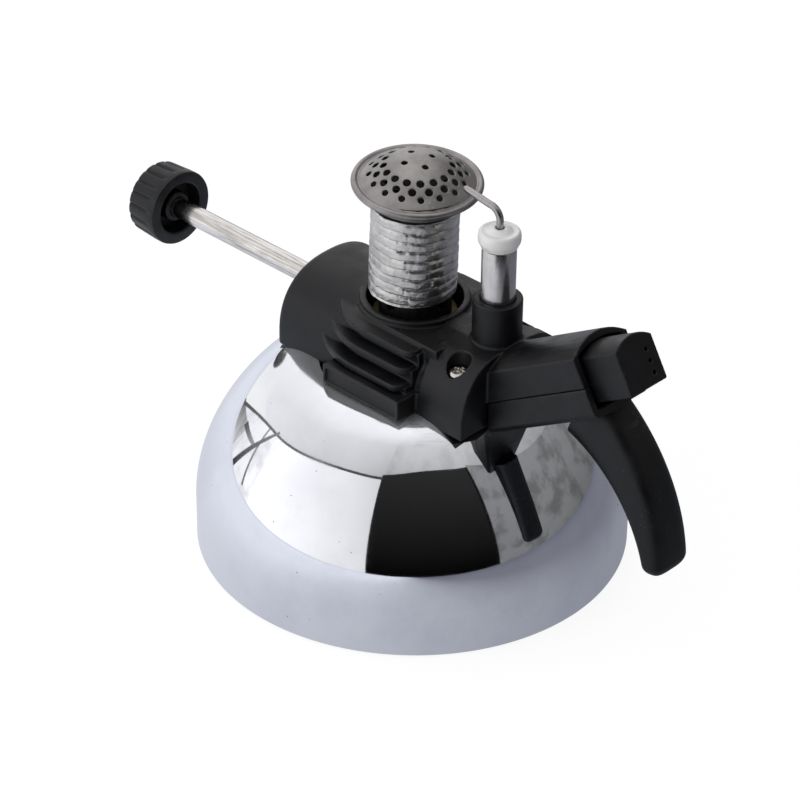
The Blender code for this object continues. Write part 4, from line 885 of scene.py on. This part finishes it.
def knobLevels():  # place along the axis, radius and depth of the flutes
    length, radius, edge = knob["length"], knob["radius"], knob["edge"]
    pocket, deep = knob["pocket"], knob["pocketDeep"]
    hub, hubBack = knob["hub"], knob["hubBack"]
    shoulder = radius - knob["taper"] - edge
    levels = [(-length, 0.0, 0.0)]
    levels += [(-length + rise, shoulder - inset, 0.0) for rise, inset in knob["backStep"]]
    for step in range(knob["edgePoints"] + 1):
        share = step / knob["edgePoints"]
        angle = quarterTurn * step / knob["edgePoints"]
        levels.append((-length + edge * (1.0 - math.cos(angle)),
                       shoulder + edge * math.sin(angle), share))
    levels += [(-knob["band"] - before, radius - under, flute)
               for before, under, flute in knob["bandRun"]]
    levels += [(-before, radius - under, 0.0) for before, under in knob["faceRun"]]
    plain = [(0.0, pocket + knob["pocketLip"][0]), (-knob["pocketLip"][1], pocket)]
    plain += [(-deep, pocket - knob["pocketDraft"]), (-deep, hub + knob["hubDraft"])]
    plain += [(-hubBack - knob["hubEdge"], hub), (-hubBack, hub - knob["hubEdge"])]
    plain += [(-hubBack, knob["bore"]), (-hubBack - knob["socket"], knob["bore"])]
    plain += [(-hubBack - knob["socket"], 0.0)]
    return levels + [(along, wide, 0.0) for along, wide in plain]


def makeKnob():
    mesh = bmesh.new()
    rings = []
    for along, wide, flute in knobLevels():
        x = knob["face"] + along
        if wide < pointSize:
            rings.append([mesh.verts.new((x, 0.0, rodZ))])
            continue
        ring = []
        for step, (across, up) in enumerate(circle(knob["steps"])):
            phase = abs((step * knob["flutes"] / knob["steps"]) % 1.0 - 0.5)
            notch = max(0.0, 1.0 - phase / knob["groove"]) ** knob["sharpness"]
            grip = wide - knob["depth"] * flute * notch
            ring.append(mesh.verts.new((x, grip * across, rodZ + grip * up)))
        rings.append(ring)
    skinRings(mesh, rings, knob["steps"], False)
    drawnPiece("ribbedKnob", mesh, "gas_control", "knobPlastic",
               ["control_knob"], sharp=32)


def makeRod():
    low, high = boxMm("control_rod")
    radius, chamfer = (high.z - low.z) / 2, rod["chamfer"]
    profile = [(0.0, low.x), (radius - chamfer, low.x), (radius, low.x + chamfer)]
    profile += [(radius, low.x + (high.x - low.x) * step / rod["parts"])
                for step in range(1, rod["parts"])]
    profile += [(radius, high.x - chamfer), (radius - chamfer, high.x), (0.0, high.x)]
    mesh = bmesh.new()
    latheInto(mesh, profile, rod["sides"], False)
    bmesh.ops.rotate(mesh, verts=mesh.verts, matrix=Matrix.Rotation(quarterTurn, 3, "Y"))
    bmesh.ops.translate(mesh, verts=mesh.verts, vec=(0.0, 0.0, rodZ))
    drawnPiece("gasRod", mesh, "gas_control", "drawnSteel", ["control_rod"], sharp=35)


makeKnob()
makeRod()
print("knob and rod done")


# burner head

head = dict(bead=12.5, rim=0.7, wall=0.5, turn=25.1, ringHoles=16, rings=(6.89, 8.47, 9.69),
            holes=(0.78, 0.78, 0.64), holeTilt=0.6, holeReach=1.4, holeSides=20,
            middleRing=3.06, middleHoles=4, middleTurn=70.5, middleHole=0.64, middleTilt=0.1,
            beadArc=(145.0, -170.0), beadPoints=24, curvePoints=6, steps=160, voxel=0.14, passes=3,
            leanX=1.7, leanY=3.7, middle=(-0.1, 0.25))
# radius and height above the rim
capCurve = [(0.0, 5.58), (1.5, 5.50), (3.06, 5.26), (5.1, 4.70), (6.89, 3.94), (8.47, 2.92),
            (9.69, 1.96), (11.0, 0.98), (11.8, 0.30)]
cup = dict(rim=((0.0, 0.0), (0.05, 0.5), (-0.15, 0.8), (-0.6, 0.92), (-0.95, 1.2)),  # from its top
           under=((10.2, 0.85), (9.5, 0.3), (9.0, 0.0), (6.8, 0.0), (6.8, 0.6), (8.4, 0.6),
                  (9.6, 1.1)), lip=0.6, steps=128)
rimZ = boxMm("burner_cap")[0].z + head["rim"]
headLean = (Matrix.Translation((*head["middle"], rimZ))
            @ Matrix.Rotation(math.radians(head["leanY"]), 4, "Y")
            @ Matrix.Rotation(math.radians(head["leanX"]), 4, "X")
            @ Matrix.Translation((0.0, 0.0, -rimZ)))


def throughPoints(points, count):  # smooth run through the given points
    run = []
    for index in range(len(points) - 1):
        near = [points[min(max(index + shift, 0), len(points) - 1)] for shift in (-1, 0, 1, 2)]
        for step in range(count):
            share = step / count
            weights = (-0.5 * share ** 3 + share ** 2 - 0.5 * share,
                       1.5 * share ** 3 - 2.5 * share ** 2 + 1.0,
                       -1.5 * share ** 3 + 2.0 * share ** 2 + 0.5 * share,
                       0.5 * share ** 3 - 0.5 * share ** 2)
            run.append(tuple(sum(weight * point[axis] for weight, point in zip(weights, near))
                             for axis in (0, 1)))
    return run + [points[-1]]


def capHeight(radius):
    for (near, high), (far, low) in zip(capCurve, capCurve[1:]):
        if near <= radius <= far:
            return high + (low - high) * (radius - near) / (far - near)


def holeInto(mesh, ring, angle, size, tilt):
    outward = (math.cos(angle), math.sin(angle))
    spot = Vector((ring * outward[0], ring * outward[1], rimZ + capHeight(ring)))
    axis = Vector((outward[0] * tilt, outward[1] * tilt, 1.0)).normalized()
    side = axis.orthogonal().normalized()
    other = axis.cross(side)
    outline = [side * (size * x) + other * (size * y) for x, y in circle(head["holeSides"])]
    reach = head["holeReach"]
    loftInto(mesh, [[spot + point + axis * end for point in outline] for end in (-reach, reach)])


def makeCap():
    outer = [(max(radius, 0.0), rimZ + height)
             for radius, height in throughPoints(capCurve, head["curvePoints"])]
    start, end = (math.radians(angle) for angle in head["beadArc"])
    bead = [(head["bead"] + x, rimZ + z)
            for x, z in arcPoints((0.0, 0.0), head["rim"], start, end, head["beadPoints"])]
    inner = [(radius, height - head["wall"]) for radius, height in reversed(outer)]
    solids = bmesh.new()
    latheInto(solids, outer + bead + inner[1:], head["steps"], False)
    cuts = bmesh.new()
    for number in range(head["middleHoles"]):
        angle = math.radians(head["middleTurn"]) + quarterTurn * number
        holeInto(cuts, head["middleRing"], angle, head["middleHole"], head["middleTilt"])
    for row, (ring, size) in enumerate(zip(head["rings"], head["holes"])):
        for number in range(head["ringHoles"]):
            angle = fullTurn * (number + 0.5 * (row % 2)) / head["ringHoles"]
            holeInto(cuts, ring, math.radians(head["turn"]) + angle, size, head["holeTilt"])
    data = moulded("flameCap", solids, cuts, head["voxel"], head["passes"])
    data.transform(headLean)
    addPiece("flameCap", data, mainBody, "satinSteel", ["burner_cap"])
    print("cap faces:", len(data.polygons))


def makeCup():
    low, high = boxMm("burner_cup")
    rim = high.x
    profile = [(rim + out, high.z - down) for out, down in cup["rim"]]
    profile += [(radius, low.z + rise) for radius, rise in cup["under"]]
    profile += [(rim - cup["lip"], high.z)]
    mesh = bmesh.new()
    latheInto(mesh, profile, cup["steps"], True)
    data = settled(tempObject("headCup", mesh))
    data.transform(headLean)
    addPiece("headCup", data, mainBody, "satinSteel", ["burner_cup"], sharp=50)


makeCap()
makeCup()


# wound foil sleeve

sleeve = dict(radius=9.0, over=0.05, inner=7.7, steps=300, rows=150, bands=9.3, depth=0.30,
              rampUp=0.16, rampDown=0.30, rampPower=0.6, drift=0.22, driftScale=(2.2, 2.2, 4.0),
              driftSeed=20.0, facets=17, stagger=0.37, staggerRows=3,
              facetScale=(7.31, 3.77, 5.13), seed=11.0, dent=0.17, dentSink=0.6, dentStep=0.8,
              dentLean=1.6, dentSlope=1.4, border=0.08, crumple=0.10, crumpleScale=(9.0, 9.0, 19.0),
              crumples=((0.9, 0.6), (2.3, 0.4)),  # scale and weight
              gapAngle=-62.0, gapHeight=0.648, gapWide=0.075, gapHigh=0.014, gapDeep=0.9,
              topShift=(-0.15, -0.12), footShift=(-0.44, -0.40))


def facetNoise(band, cell, salt):
    scale = sleeve["facetScale"]
    spot = (band * scale[0] + sleeve["seed"], cell * scale[1], salt * scale[2])
    return noise.noise(Vector(spot))


def onSleeve(angle, share, scale, lift=0.0):  # place in the noise
    return Vector((math.cos(angle) * scale[0], math.sin(angle) * scale[1], share * scale[2] + lift))


def sleeveRadius(angle, share):
    drift = noise.noise(onSleeve(angle, share, sleeve["driftScale"], sleeve["driftSeed"]))
    turns = share * sleeve["bands"] + angle / fullTurn + sleeve["drift"] * drift
    band, phase = math.floor(turns), turns % 1.0
    profile = min(1.0, phase / sleeve["rampUp"]) * min(1.0, (1.0 - phase) / sleeve["rampDown"])
    profile = profile ** sleeve["rampPower"]
    stagger = sleeve["stagger"] * (band % sleeve["staggerRows"])
    cellPlace = angle / fullTurn * sleeve["facets"] + stagger
    cell, inside = math.floor(cellPlace) % sleeve["facets"], cellPlace % 1.0
    step, lean, slope = (facetNoise(band, cell, salt) for salt in (1.0, 2.0, 3.0))
    dent = step * sleeve["dentStep"] + lean * (inside - 0.5) * sleeve["dentLean"]
    dent += slope * (phase - 0.5) * sleeve["dentSlope"]
    border = min(1.0, inside / sleeve["border"], (1.0 - inside) / sleeve["border"])
    spot = onSleeve(angle, share, sleeve["crumpleScale"])
    crumple = sum(noise.noise(spot * scale) * weight for scale, weight in sleeve["crumples"])
    away = angle - math.radians(sleeve["gapAngle"])
    away = math.atan2(math.sin(away), math.cos(away)) / sleeve["gapWide"]
    rise = (share - sleeve["gapHeight"]) / sleeve["gapHigh"]
    tear = math.exp(-away ** 2 - rise ** 2)
    radius = sleeve["radius"] - sleeve["depth"] * (1.0 - profile)
    radius += sleeve["dent"] * border * dent - sleeve["dent"] * sleeve["dentSink"]
    radius += sleeve["crumple"] * crumple - sleeve["gapDeep"] * tear
    return min(radius, sleeve["radius"] + sleeve["over"])


def makeSleeve():
    low, high = boxMm("wound_sleeve")
    around = circle(sleeve["steps"])
    mesh = bmesh.new()
    rings = []
    for row in range(sleeve["rows"] + 1):
        share = row / sleeve["rows"]
        z = low.z + (high.z - low.z) * share
        shift = [foot + (top - foot) * share
                 for foot, top in zip(sleeve["footShift"], sleeve["topShift"])]
        ring = []
        for step, (x, y) in enumerate(around):
            radius = sleeveRadius(fullTurn * step / sleeve["steps"], share)
            ring.append(mesh.verts.new((radius * x + shift[0], radius * y + shift[1], z)))
        rings.append(ring)
    for z in (high.z, low.z):
        rings.append([mesh.verts.new((sleeve["inner"] * x, sleeve["inner"] * y, z))
                      for x, y in around])
    skinRings(mesh, rings, sleeve["steps"], True)
    drawnPiece("woundSleeve", mesh, mainBody, "foilRibbon", ["wound_sleeve"],
               sharp=50)


makeSleeve()
print("sleeve done")


# electrode

spark = dict(x=22.2, tube=3.45, bore=2.8, tubeEnd=0.3, tubeEdge=0.2, tubeLip=0.15, steps=96,
             rim=41.2, neckGap=0.3, neck=((3.66, 0.4), (3.5, 0.0), (2.5, 0.0)),
             foot=(2.5, 0.95), wire=0.72, wireSides=24, wireStraight=4.0, bend=2.6, bendPoints=10,
             tipX=12.7, tipRise=1.0, corner=45.8, tipRun=(0.3, 0.6, 0.85, 0.96, 1.0),
             tipTaper=(0.95, 0.82, 0.55))
# radius and height from the collar's rim
ceramicCurve = [(0.9, -0.3), (0.95, 0.55), (1.2, 0.66), (1.6, 0.58), (2.1, 0.3), (2.5, 0.02),
                (2.8, -0.12), (3.1, -0.13), (3.35, -0.04), (3.6, 0.0), (3.8, -0.05), (4.0, -0.2),
                (4.15, -0.5), (4.25, -0.95), (4.25, -1.8), (4.18, -2.3), (4.0, -2.7), (3.78, -3.0),
                (3.68, -3.4)]


def makeElectrode():
    centre, outside, bore = (spark["x"], 0.0), spark["tube"], spark["bore"]
    low, high = boxMm("electrode_tube")
    neckZ = high.z + spark["neckGap"]
    tube = [(outside, high.z - spark["tubeEdge"]), (outside, low.z + spark["tubeEnd"])]
    tube += [(outside - spark["tubeEdge"], low.z), (bore, low.z), (bore, high.z)]
    tube += [(outside - spark["tubeLip"], high.z)]
    turnedPiece("sparkTube", tube, "polishedTube", ["electrode_tube"], spark["steps"],
                sharp=40, centre=centre)
    collarZ = deckZ + spark["rim"]
    body = [(radius, collarZ + rise) for radius, rise in ceramicCurve]
    body += [(radius, neckZ + rise) for radius, rise in spark["neck"]]
    body += [(radius, boxMm("insulator")[0].z) for radius in spark["foot"]]
    turnedPiece("ceramicCup", body, "glazedCeramic", ["insulator"], spark["steps"],
                sharp=60, centre=centre)


def makeWire():
    x, corner, bend = spark["x"], deckZ + spark["corner"], spark["bend"]
    points = [Vector((x, 0.0, boxMm("electrode_wire")[0].z))]
    points += [Vector((x, 0.0, corner - spark["wireStraight"]))]
    for step in range(spark["bendPoints"] + 1):
        angle = quarterTurn * step / spark["bendPoints"]
        points.append(Vector((x - bend * (1.0 - math.cos(angle)), 0.0,
                              corner - bend * (1.0 - math.sin(angle)))))
    start, tip = points[-1], Vector((spark["tipX"], 0.0, corner + spark["tipRise"]))
    points += [start.lerp(tip, share) for share in spark["tipRun"]]
    taper = [1.0] * (len(points) - len(spark["tipTaper"])) + list(spark["tipTaper"])
    side = Vector((0.0, 1.0, 0.0))
    rings = []
    for index, place in enumerate(points):
        before, after = points[max(index - 1, 0)], points[min(index + 1, len(points) - 1)]
        up = (after - before).normalized().cross(side).normalized()
        size = spark["wire"] * taper[index]
        rings.append([place + (side * across + up * rise) * size
                      for across, rise in circle(spark["wireSides"])])
    mesh = bmesh.new()
    loftInto(mesh, rings)
    drawnPiece("sparkWire", mesh, mainBody, "wireSteel", ["electrode_wire"], sharp=50)


makeElectrode()
makeWire()
print("electrode done")


# cover screws with a cross recess

def makeScrew(side, label):
    seat = deckZ + screw["seat"] + screw["gap"]
    top = seat + screw["headHigh"]
    low = crestZ + screw["shankGap"]
    spot = (screw["x"], side * screw["y"])
    profile = [(radius, top - down) for radius, down in screw["crown"]]
    profile += [(screw["head"], top - screw["crownLow"]), (screw["head"], seat)]
    profile += [(screw["shank"], seat), (screw["shank"], low), (0.0, low)]
    solids = bmesh.new()
    latheInto(solids, profile, screw["steps"], False, spot)
    cuts = bmesh.new()
    for wide, deep in (screw["slot"], screw["slot"][::-1]):
        boxInto(cuts, (spot[0] - wide, spot[1] - deep, top - screw["slotDeep"]),
                (spot[0] + wide, spot[1] + deep, top + screw["slotOver"]))
    name = "crossScrew" + label.title()
    data = moulded(name, solids, cuts, screw["voxel"], screw["passes"])
    addPiece(name, data, mainBody, "platedScrew", ["cover_screw_" + label])


makeScrew(-1, "front")
makeScrew(1, "rear")
print("screws done")


# coil springs for the button and the fill valve

buttonSpring = dict(along=16.2, square=0.7, gap=0.9, radius=3.7, length=6.5, turns=3, thick=0.6)
fillSpring = dict(turns=4, thick=0.36)
coil = dict(points=28, sides=12)


def coilPiece(name, start, axis, radius, length, turns, thick, replaced):
    side = axis.orthogonal().normalized()
    other = axis.cross(side)
    count = turns * coil["points"]
    rings = []
    for step in range(count + 1):
        angle = fullTurn * step / coil["points"]
        out = side * math.cos(angle) + other * math.sin(angle)
        middle = start + axis * (length * step / count) + out * radius
        rings.append([middle + (out * x + axis * y) * thick for x, y in circle(coil["sides"])])
    mesh = bmesh.new()
    loftInto(mesh, rings)
    return drawnPiece(name, mesh, mainBody, "drawnSteel", [replaced], sharp=60)


piezoEnd = armPlace(buttonSpring["along"], 0.0, buttonSpring["square"])
buttonCoil = coilPiece("buttonCoil", piezoEnd + armAlong * buttonSpring["gap"], armAlong,
                       buttonSpring["radius"], buttonSpring["length"], buttonSpring["turns"],
                       buttonSpring["thick"], "button_spring")
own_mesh(buttonCoil)
stemLow, stemHigh = boxMm("fill_valve_spring")
coilThick = fillSpring["thick"]
fillCoil = coilPiece("fillCoil", Vector((0.0, 0.0, stemLow.z + coilThick)), Vector((0.0, 0.0, 1.0)),
                     (stemHigh.x - stemLow.x) / 2 - coilThick,
                     stemHigh.z - stemLow.z - 2 * coilThick, fillSpring["turns"], coilThick,
                     "fill_valve_spring")
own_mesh(fillCoil)
print("springs done")


# finishes of the nodes that stay

slotLooks = {"chrome": "chromePlate", "black_plastic": "satinPlastic", "steel": "drawnSteel",
             "satin_steel": "satinSteel", "sleeve_metal": "foilRibbon", "brass": "turnedBrass",
             "ceramic": "glazedCeramic", "rubber": "footRubber", "wick_fibre": "feltFibre",
             "lead_sleeve": "leadSleeve"}
# the parts inside the head and the well get near-black finishes: painted shade
nodeLooks = {"flame_gauze": "paintedShadeSteel", "mixing_tube": "paintedShadeSteel",
             "valve_body": "paintedShadeBrass", "gas_jet": "paintedShadeBrass"}
for row in frame["record"]["subparts"]:
    data = nodes[row["node"]].data
    data.materials.clear()
    data.materials.append(materials[nodeLooks.get(row["node"], slotLooks[row["material_slot"]])])
print("node finishes set")


# camera, as the photograph was taken

shot = dict(azimuth=43.6, elevation=33.1, roll=0.67, distance=0.700, lens=153.88, sensor=36.0,
            clip=0.01, look=(-0.00205, -0.00195, 0.0320))


def makeCamera():
    azimuth, elevation, roll = (math.radians(shot[key]) for key in ("azimuth", "elevation", "roll"))
    back = Vector((math.sin(azimuth) * math.cos(elevation),
                   -math.cos(azimuth) * math.cos(elevation), math.sin(elevation)))
    right = Vector((math.cos(azimuth), math.sin(azimuth), 0.0))
    up = back.cross(right)
    leanRight = right * math.cos(roll) + up * math.sin(roll)
    leanUp = up * math.cos(roll) - right * math.sin(roll)
    camera = putObject("shotCamera", bpy.data.cameras.new("shotCamera"))
    camera.data.sensor_width = shot["sensor"]
    camera.data.lens = shot["lens"]
    camera.data.clip_start = shot["clip"]
    turn = Matrix((leanRight, leanUp, back)).transposed().to_4x4()
    camera.matrix_world = Matrix.Translation(Vector(shot["look"]) + back * shot["distance"]) @ turn
    bpy.context.scene.camera = camera


makeCamera()


# studio: pale floor, soft lamps, cards that only reflections see; as reflections see it, the floor
# carries a painted shade that falls off across the view

studio = dict(floorSize=3.0, floorPaintedLit=(0.86, 0.89, 0.99), floorPaintedShade=(0.125, 0.135, 0.18),
              paintedFalloff=(-0.13, 0.12), fallAlong=(0.724, 0.690, 0.0), floorPlain=(0.80, 0.80, 0.80),
              floorGlow=(1.10, 1.10, 1.10), floorWhite=0.82, ambient=0.28,
              ambientTint=(0.95, 0.97, 1.0), white=(1.0, 1.0, 1.0), aim=(0.0, 0.0, 0.04))
cardLook = dict(rows=12, columns=24, blue=1.02, mottleScale=3.2, mottle=(4.0, 0.6),
                where=(0.42, 0.64), dark=(0.01, 0.01, 0.01))
cards = [  # corners low left, low right, high right, high left as turn and rise, a grey for each
    dict(name="softCard", corners=((-141.0, -0.6), (-69.0, -0.6), (-71.0, 49.5), (-145.0, 28.3)),
         tones=(1.34, 0.88, 0.74, 1.34), reach=1.90, bulge=4.5),
    dict(name="darkCard", corners=((-69.0, -0.6), (-3.0, -0.6), (-2.0, 51.0), (-71.0, 51.5)),
         tones=(0.001, 0.001, 0.028, 0.024), reach=1.90, bulge=4.0),
    dict(name="greyCard", corners=((-3.0, -0.6), (78.0, -0.6), (78.0, 22.0), (-2.0, 52.0)),
         tones=(0.23, 0.15, 0.26, 0.28), reach=1.92, mottle=0.40),
    dict(name="leftCard", corners=((-184.0, -0.6), (-141.0, -0.6), (-145.0, 28.3), (-184.0, 1.0)),
         tones=(0.90, 1.15, 1.20, 0.95), reach=1.92, mottle=0.22, bulge=3.0),
    dict(name="ceilingLeft", corners=((-225.0, -0.6), (-70.0, 49.0), (-60.0, 88.0), (-225.0, 88.0)),
         tones=(1.20, 0.46, 1.0, 1.10), reach=2.00),
    dict(name="ceilingRight", corners=((-70.0, 49.0), (80.0, 21.0), (80.0, 88.0), (-60.0, 88.0)),
         tones=(0.42, 0.28, 0.90, 1.0), reach=2.00, mottle=0.15),
    dict(name="topLine", corners=((-146.0, 27.6), (-70.0, 49.3), (-70.0, 50.6), (-146.0, 28.6)),
         tones=(0.12, 0.06, 0.06, 0.12), reach=1.85, arch=4.5),
    dict(name="leftLine", corners=((-184.0, 0.4), (-146.0, 27.6), (-146.0, 28.6), (-184.0, 1.6)),
         tones=(0.10, 0.20, 0.20, 0.10), reach=1.86, arch=3.0),
    dict(name="dimPatch", corners=((-186.0, -0.6), (-170.0, -0.6), (-168.0, 10.0), (-186.0, 0.5)),
         tones=(0.20, 0.85, 0.75, 0.12), reach=1.88, mottle=0.4),
    dict(name="curveLine", corners=((-4.5, -0.6), (-2.6, -0.6), (-1.6, 51.0), (-3.2, 51.0)),
         tones=(0.004, 0.004, 0.01, 0.01), reach=1.85),
    dict(name="standPole", corners=((-164.0, -0.6), (-161.0, -0.6), (-150.5, 27.0), (-152.0, 27.0)),
         tones=(0.05, 0.05, 0.30, 0.30), reach=1.86),
    dict(name="standBrace", corners=((-149.8, 2.0), (-148.3, 2.0), (-157.0, 22.0), (-158.5, 22.0)),
         tones=(0.16, 0.16, 0.40, 0.40), reach=1.87),
    dict(name="standArm", corners=((-172.0, 6.0), (-158.0, 12.0), (-158.0, 13.6), (-172.0, 8.2)),
         tones=(0.10, 0.40, 0.40, 0.10), reach=1.87),
    dict(name="rearCard", corners=((78.0, -0.6), (116.0, -0.6), (116.0, 54.0), (78.0, 54.0)),
         tones=(0.14, 0.34, 0.50, 0.24), reach=1.94, mottle=0.10),
]
lamps = [
    dict(name="keyPanel", turn=-102.0, rise=23.0, distance=0.75, size=(1.02, 0.62), power=3.2),
    dict(name="topPanel", turn=-150.0, rise=68.0, distance=1.0, size=(0.9, 0.8), power=3.8),
    dict(name="rearPanel", turn=122.0, rise=36.0, distance=1.2, size=(0.9, 0.6), power=3.2),
]


def directionOf(turn, rise):
    turn, rise = math.radians(turn), math.radians(rise)
    level = math.cos(rise)
    return Vector((math.cos(turn) * level, math.sin(turn) * level, math.sin(rise)))


def emptyTree(owner):  # of a material or the world
    owner.use_nodes = True
    owner.node_tree.nodes.clear()
    return owner.node_tree


def lightPath(tree):  # the node's outputs, and a mask of the rays that see the background
    path = addNode(tree, "ShaderNodeLightPath").outputs
    seen = mathNode(tree, "MAXIMUM", path["Is Camera Ray"], path["Is Glossy Ray"])
    return path, mathNode(tree, "MAXIMUM", seen, path["Is Transmission Ray"])


def mixedOut(tree, kind, share, first, second):
    inputs = {0: share, 1: first.outputs[0], 2: second.outputs[0]}
    mix = addNode(tree, "ShaderNodeMixShader", inputs)
    addNode(tree, kind, {"Surface": mix.outputs[0]})


def stagePiece(name, mesh):  # with a new, empty material
    data = meshData(name, mesh)
    material = bpy.data.materials.new(name)
    data.materials.append(material)
    return putObject(name, data), emptyTree(material)


def makeFloor():
    mesh = bmesh.new()
    half = studio["floorSize"]
    corners = ((-half, -half), (half, -half), (half, half), (-half, half))
    mesh.faces.new([mesh.verts.new((x, y, 0.0)) for x, y in corners])
    floor, tree = stagePiece("paleFloor", mesh)
    path, seen = lightPath(tree)
    # reflections see the floor fade from pale blue to dark grey across the view: painted shade
    # standing in for the light falling off
    coords = addNode(tree, "ShaderNodeTexCoord").outputs["Object"]
    inputs = {0: coords, 1: studio["fallAlong"]}
    across = addNode(tree, "ShaderNodeVectorMath", inputs, operation="DOT_PRODUCT")
    paintedFalloff = softStep(tree, across.outputs["Value"], *studio["paintedFalloff"])
    shade = mixColour(tree, paintedFalloff, studio["floorPaintedLit"], studio["floorPaintedShade"])
    glow = mixColour(tree, path["Is Camera Ray"], shade, studio["floorGlow"])
    plain = addNode(tree, "ShaderNodeBsdfDiffuse", {"Color": studio["floorPlain"]})
    white = addNode(tree, "ShaderNodeEmission", {"Color": glow})
    share = scaled(tree, seen, studio["floorWhite"])
    mixedOut(tree, "ShaderNodeOutputMaterial", share, plain, white)


def makeCard(card):
    mesh = bmesh.new()
    toneLayer = mesh.verts.layers.float_color.new("tone")
    rings = []
    for row in range(cardLook["rows"] + 1):
        up = row / cardLook["rows"]
        ring = []
        for column in range(cardLook["columns"] + 1):
            across = column / cardLook["columns"]
            weights = ((1 - across) * (1 - up), across * (1 - up), across * up, (1 - across) * up)
            turn, rise = (sum(weight * corner[axis] for weight, corner
                              in zip(weights, card["corners"])) for axis in (0, 1))
            lift = card.get("bulge", 0.0) * up + card.get("arch", 0.0)
            rise += lift * math.sin(math.pi * across)
            tone = sum(weight * grey for weight, grey in zip(weights, card["tones"]))
            point = mesh.verts.new(directionOf(turn, rise) * card["reach"])
            point[toneLayer] = (tone, tone, tone * cardLook["blue"], 1.0)
            ring.append(point)
        rings.append(ring)
    for lower, upper in zip(rings, rings[1:]):
        for step in range(cardLook["columns"]):
            mesh.faces.new((lower[step], lower[step + 1], upper[step + 1], upper[step]))
    panel, tree = stagePiece(card["name"], mesh)
    tone = addNode(tree, "ShaderNodeAttribute", attribute_name="tone").outputs["Color"]
    coords = addNode(tree, "ShaderNodeTexCoord").outputs["Object"]
    cloud = noiseNode(tree, coords, cardLook["mottleScale"], *cardLook["mottle"])
    dark = scaled(tree, softStep(tree, cloud, *cardLook["where"]), card.get("mottle", 0.0))
    shade = mixColour(tree, dark, tone, cardLook["dark"])
    glow = addNode(tree, "ShaderNodeEmission", {"Color": shade})
    addNode(tree, "ShaderNodeOutputMaterial", {"Surface": glow.outputs[0]})
    for ray in ("camera", "diffuse", "shadow", "transmission"):
        setattr(panel, "visible_" + ray, False)


def makeLamp(lamp):
    light = bpy.data.lights.new(lamp["name"], "AREA")
    light.shape = "RECTANGLE"
    light.size, light.size_y = lamp["size"]
    light.energy = lamp["power"]
    item = putObject(lamp["name"], light)
    aim = Vector(studio["aim"])
    item.location = directionOf(lamp["turn"], lamp["rise"]) * lamp["distance"] + aim
    item.rotation_euler = (aim - item.location).to_track_quat("-Z", "Y").to_euler()
    item.visible_glossy = False  # the cards stand for the lamps in reflections


def makeWorld():
    world = bpy.data.worlds.new("softStudio")
    bpy.context.scene.world = world
    tree = emptyTree(world)
    inputs = {"Color": studio["ambientTint"], "Strength": studio["ambient"]}
    soft = addNode(tree, "ShaderNodeBackground", inputs)
    white = addNode(tree, "ShaderNodeBackground", {"Color": studio["white"]})
    mixedOut(tree, "ShaderNodeOutputWorld", lightPath(tree)[1], soft, white)


makeFloor()
for card in cards:
    makeCard(card)
for lamp in lamps:
    makeLamp(lamp)
makeWorld()
bpy.context.scene.view_settings.view_transform = "Standard"
print("studio done")
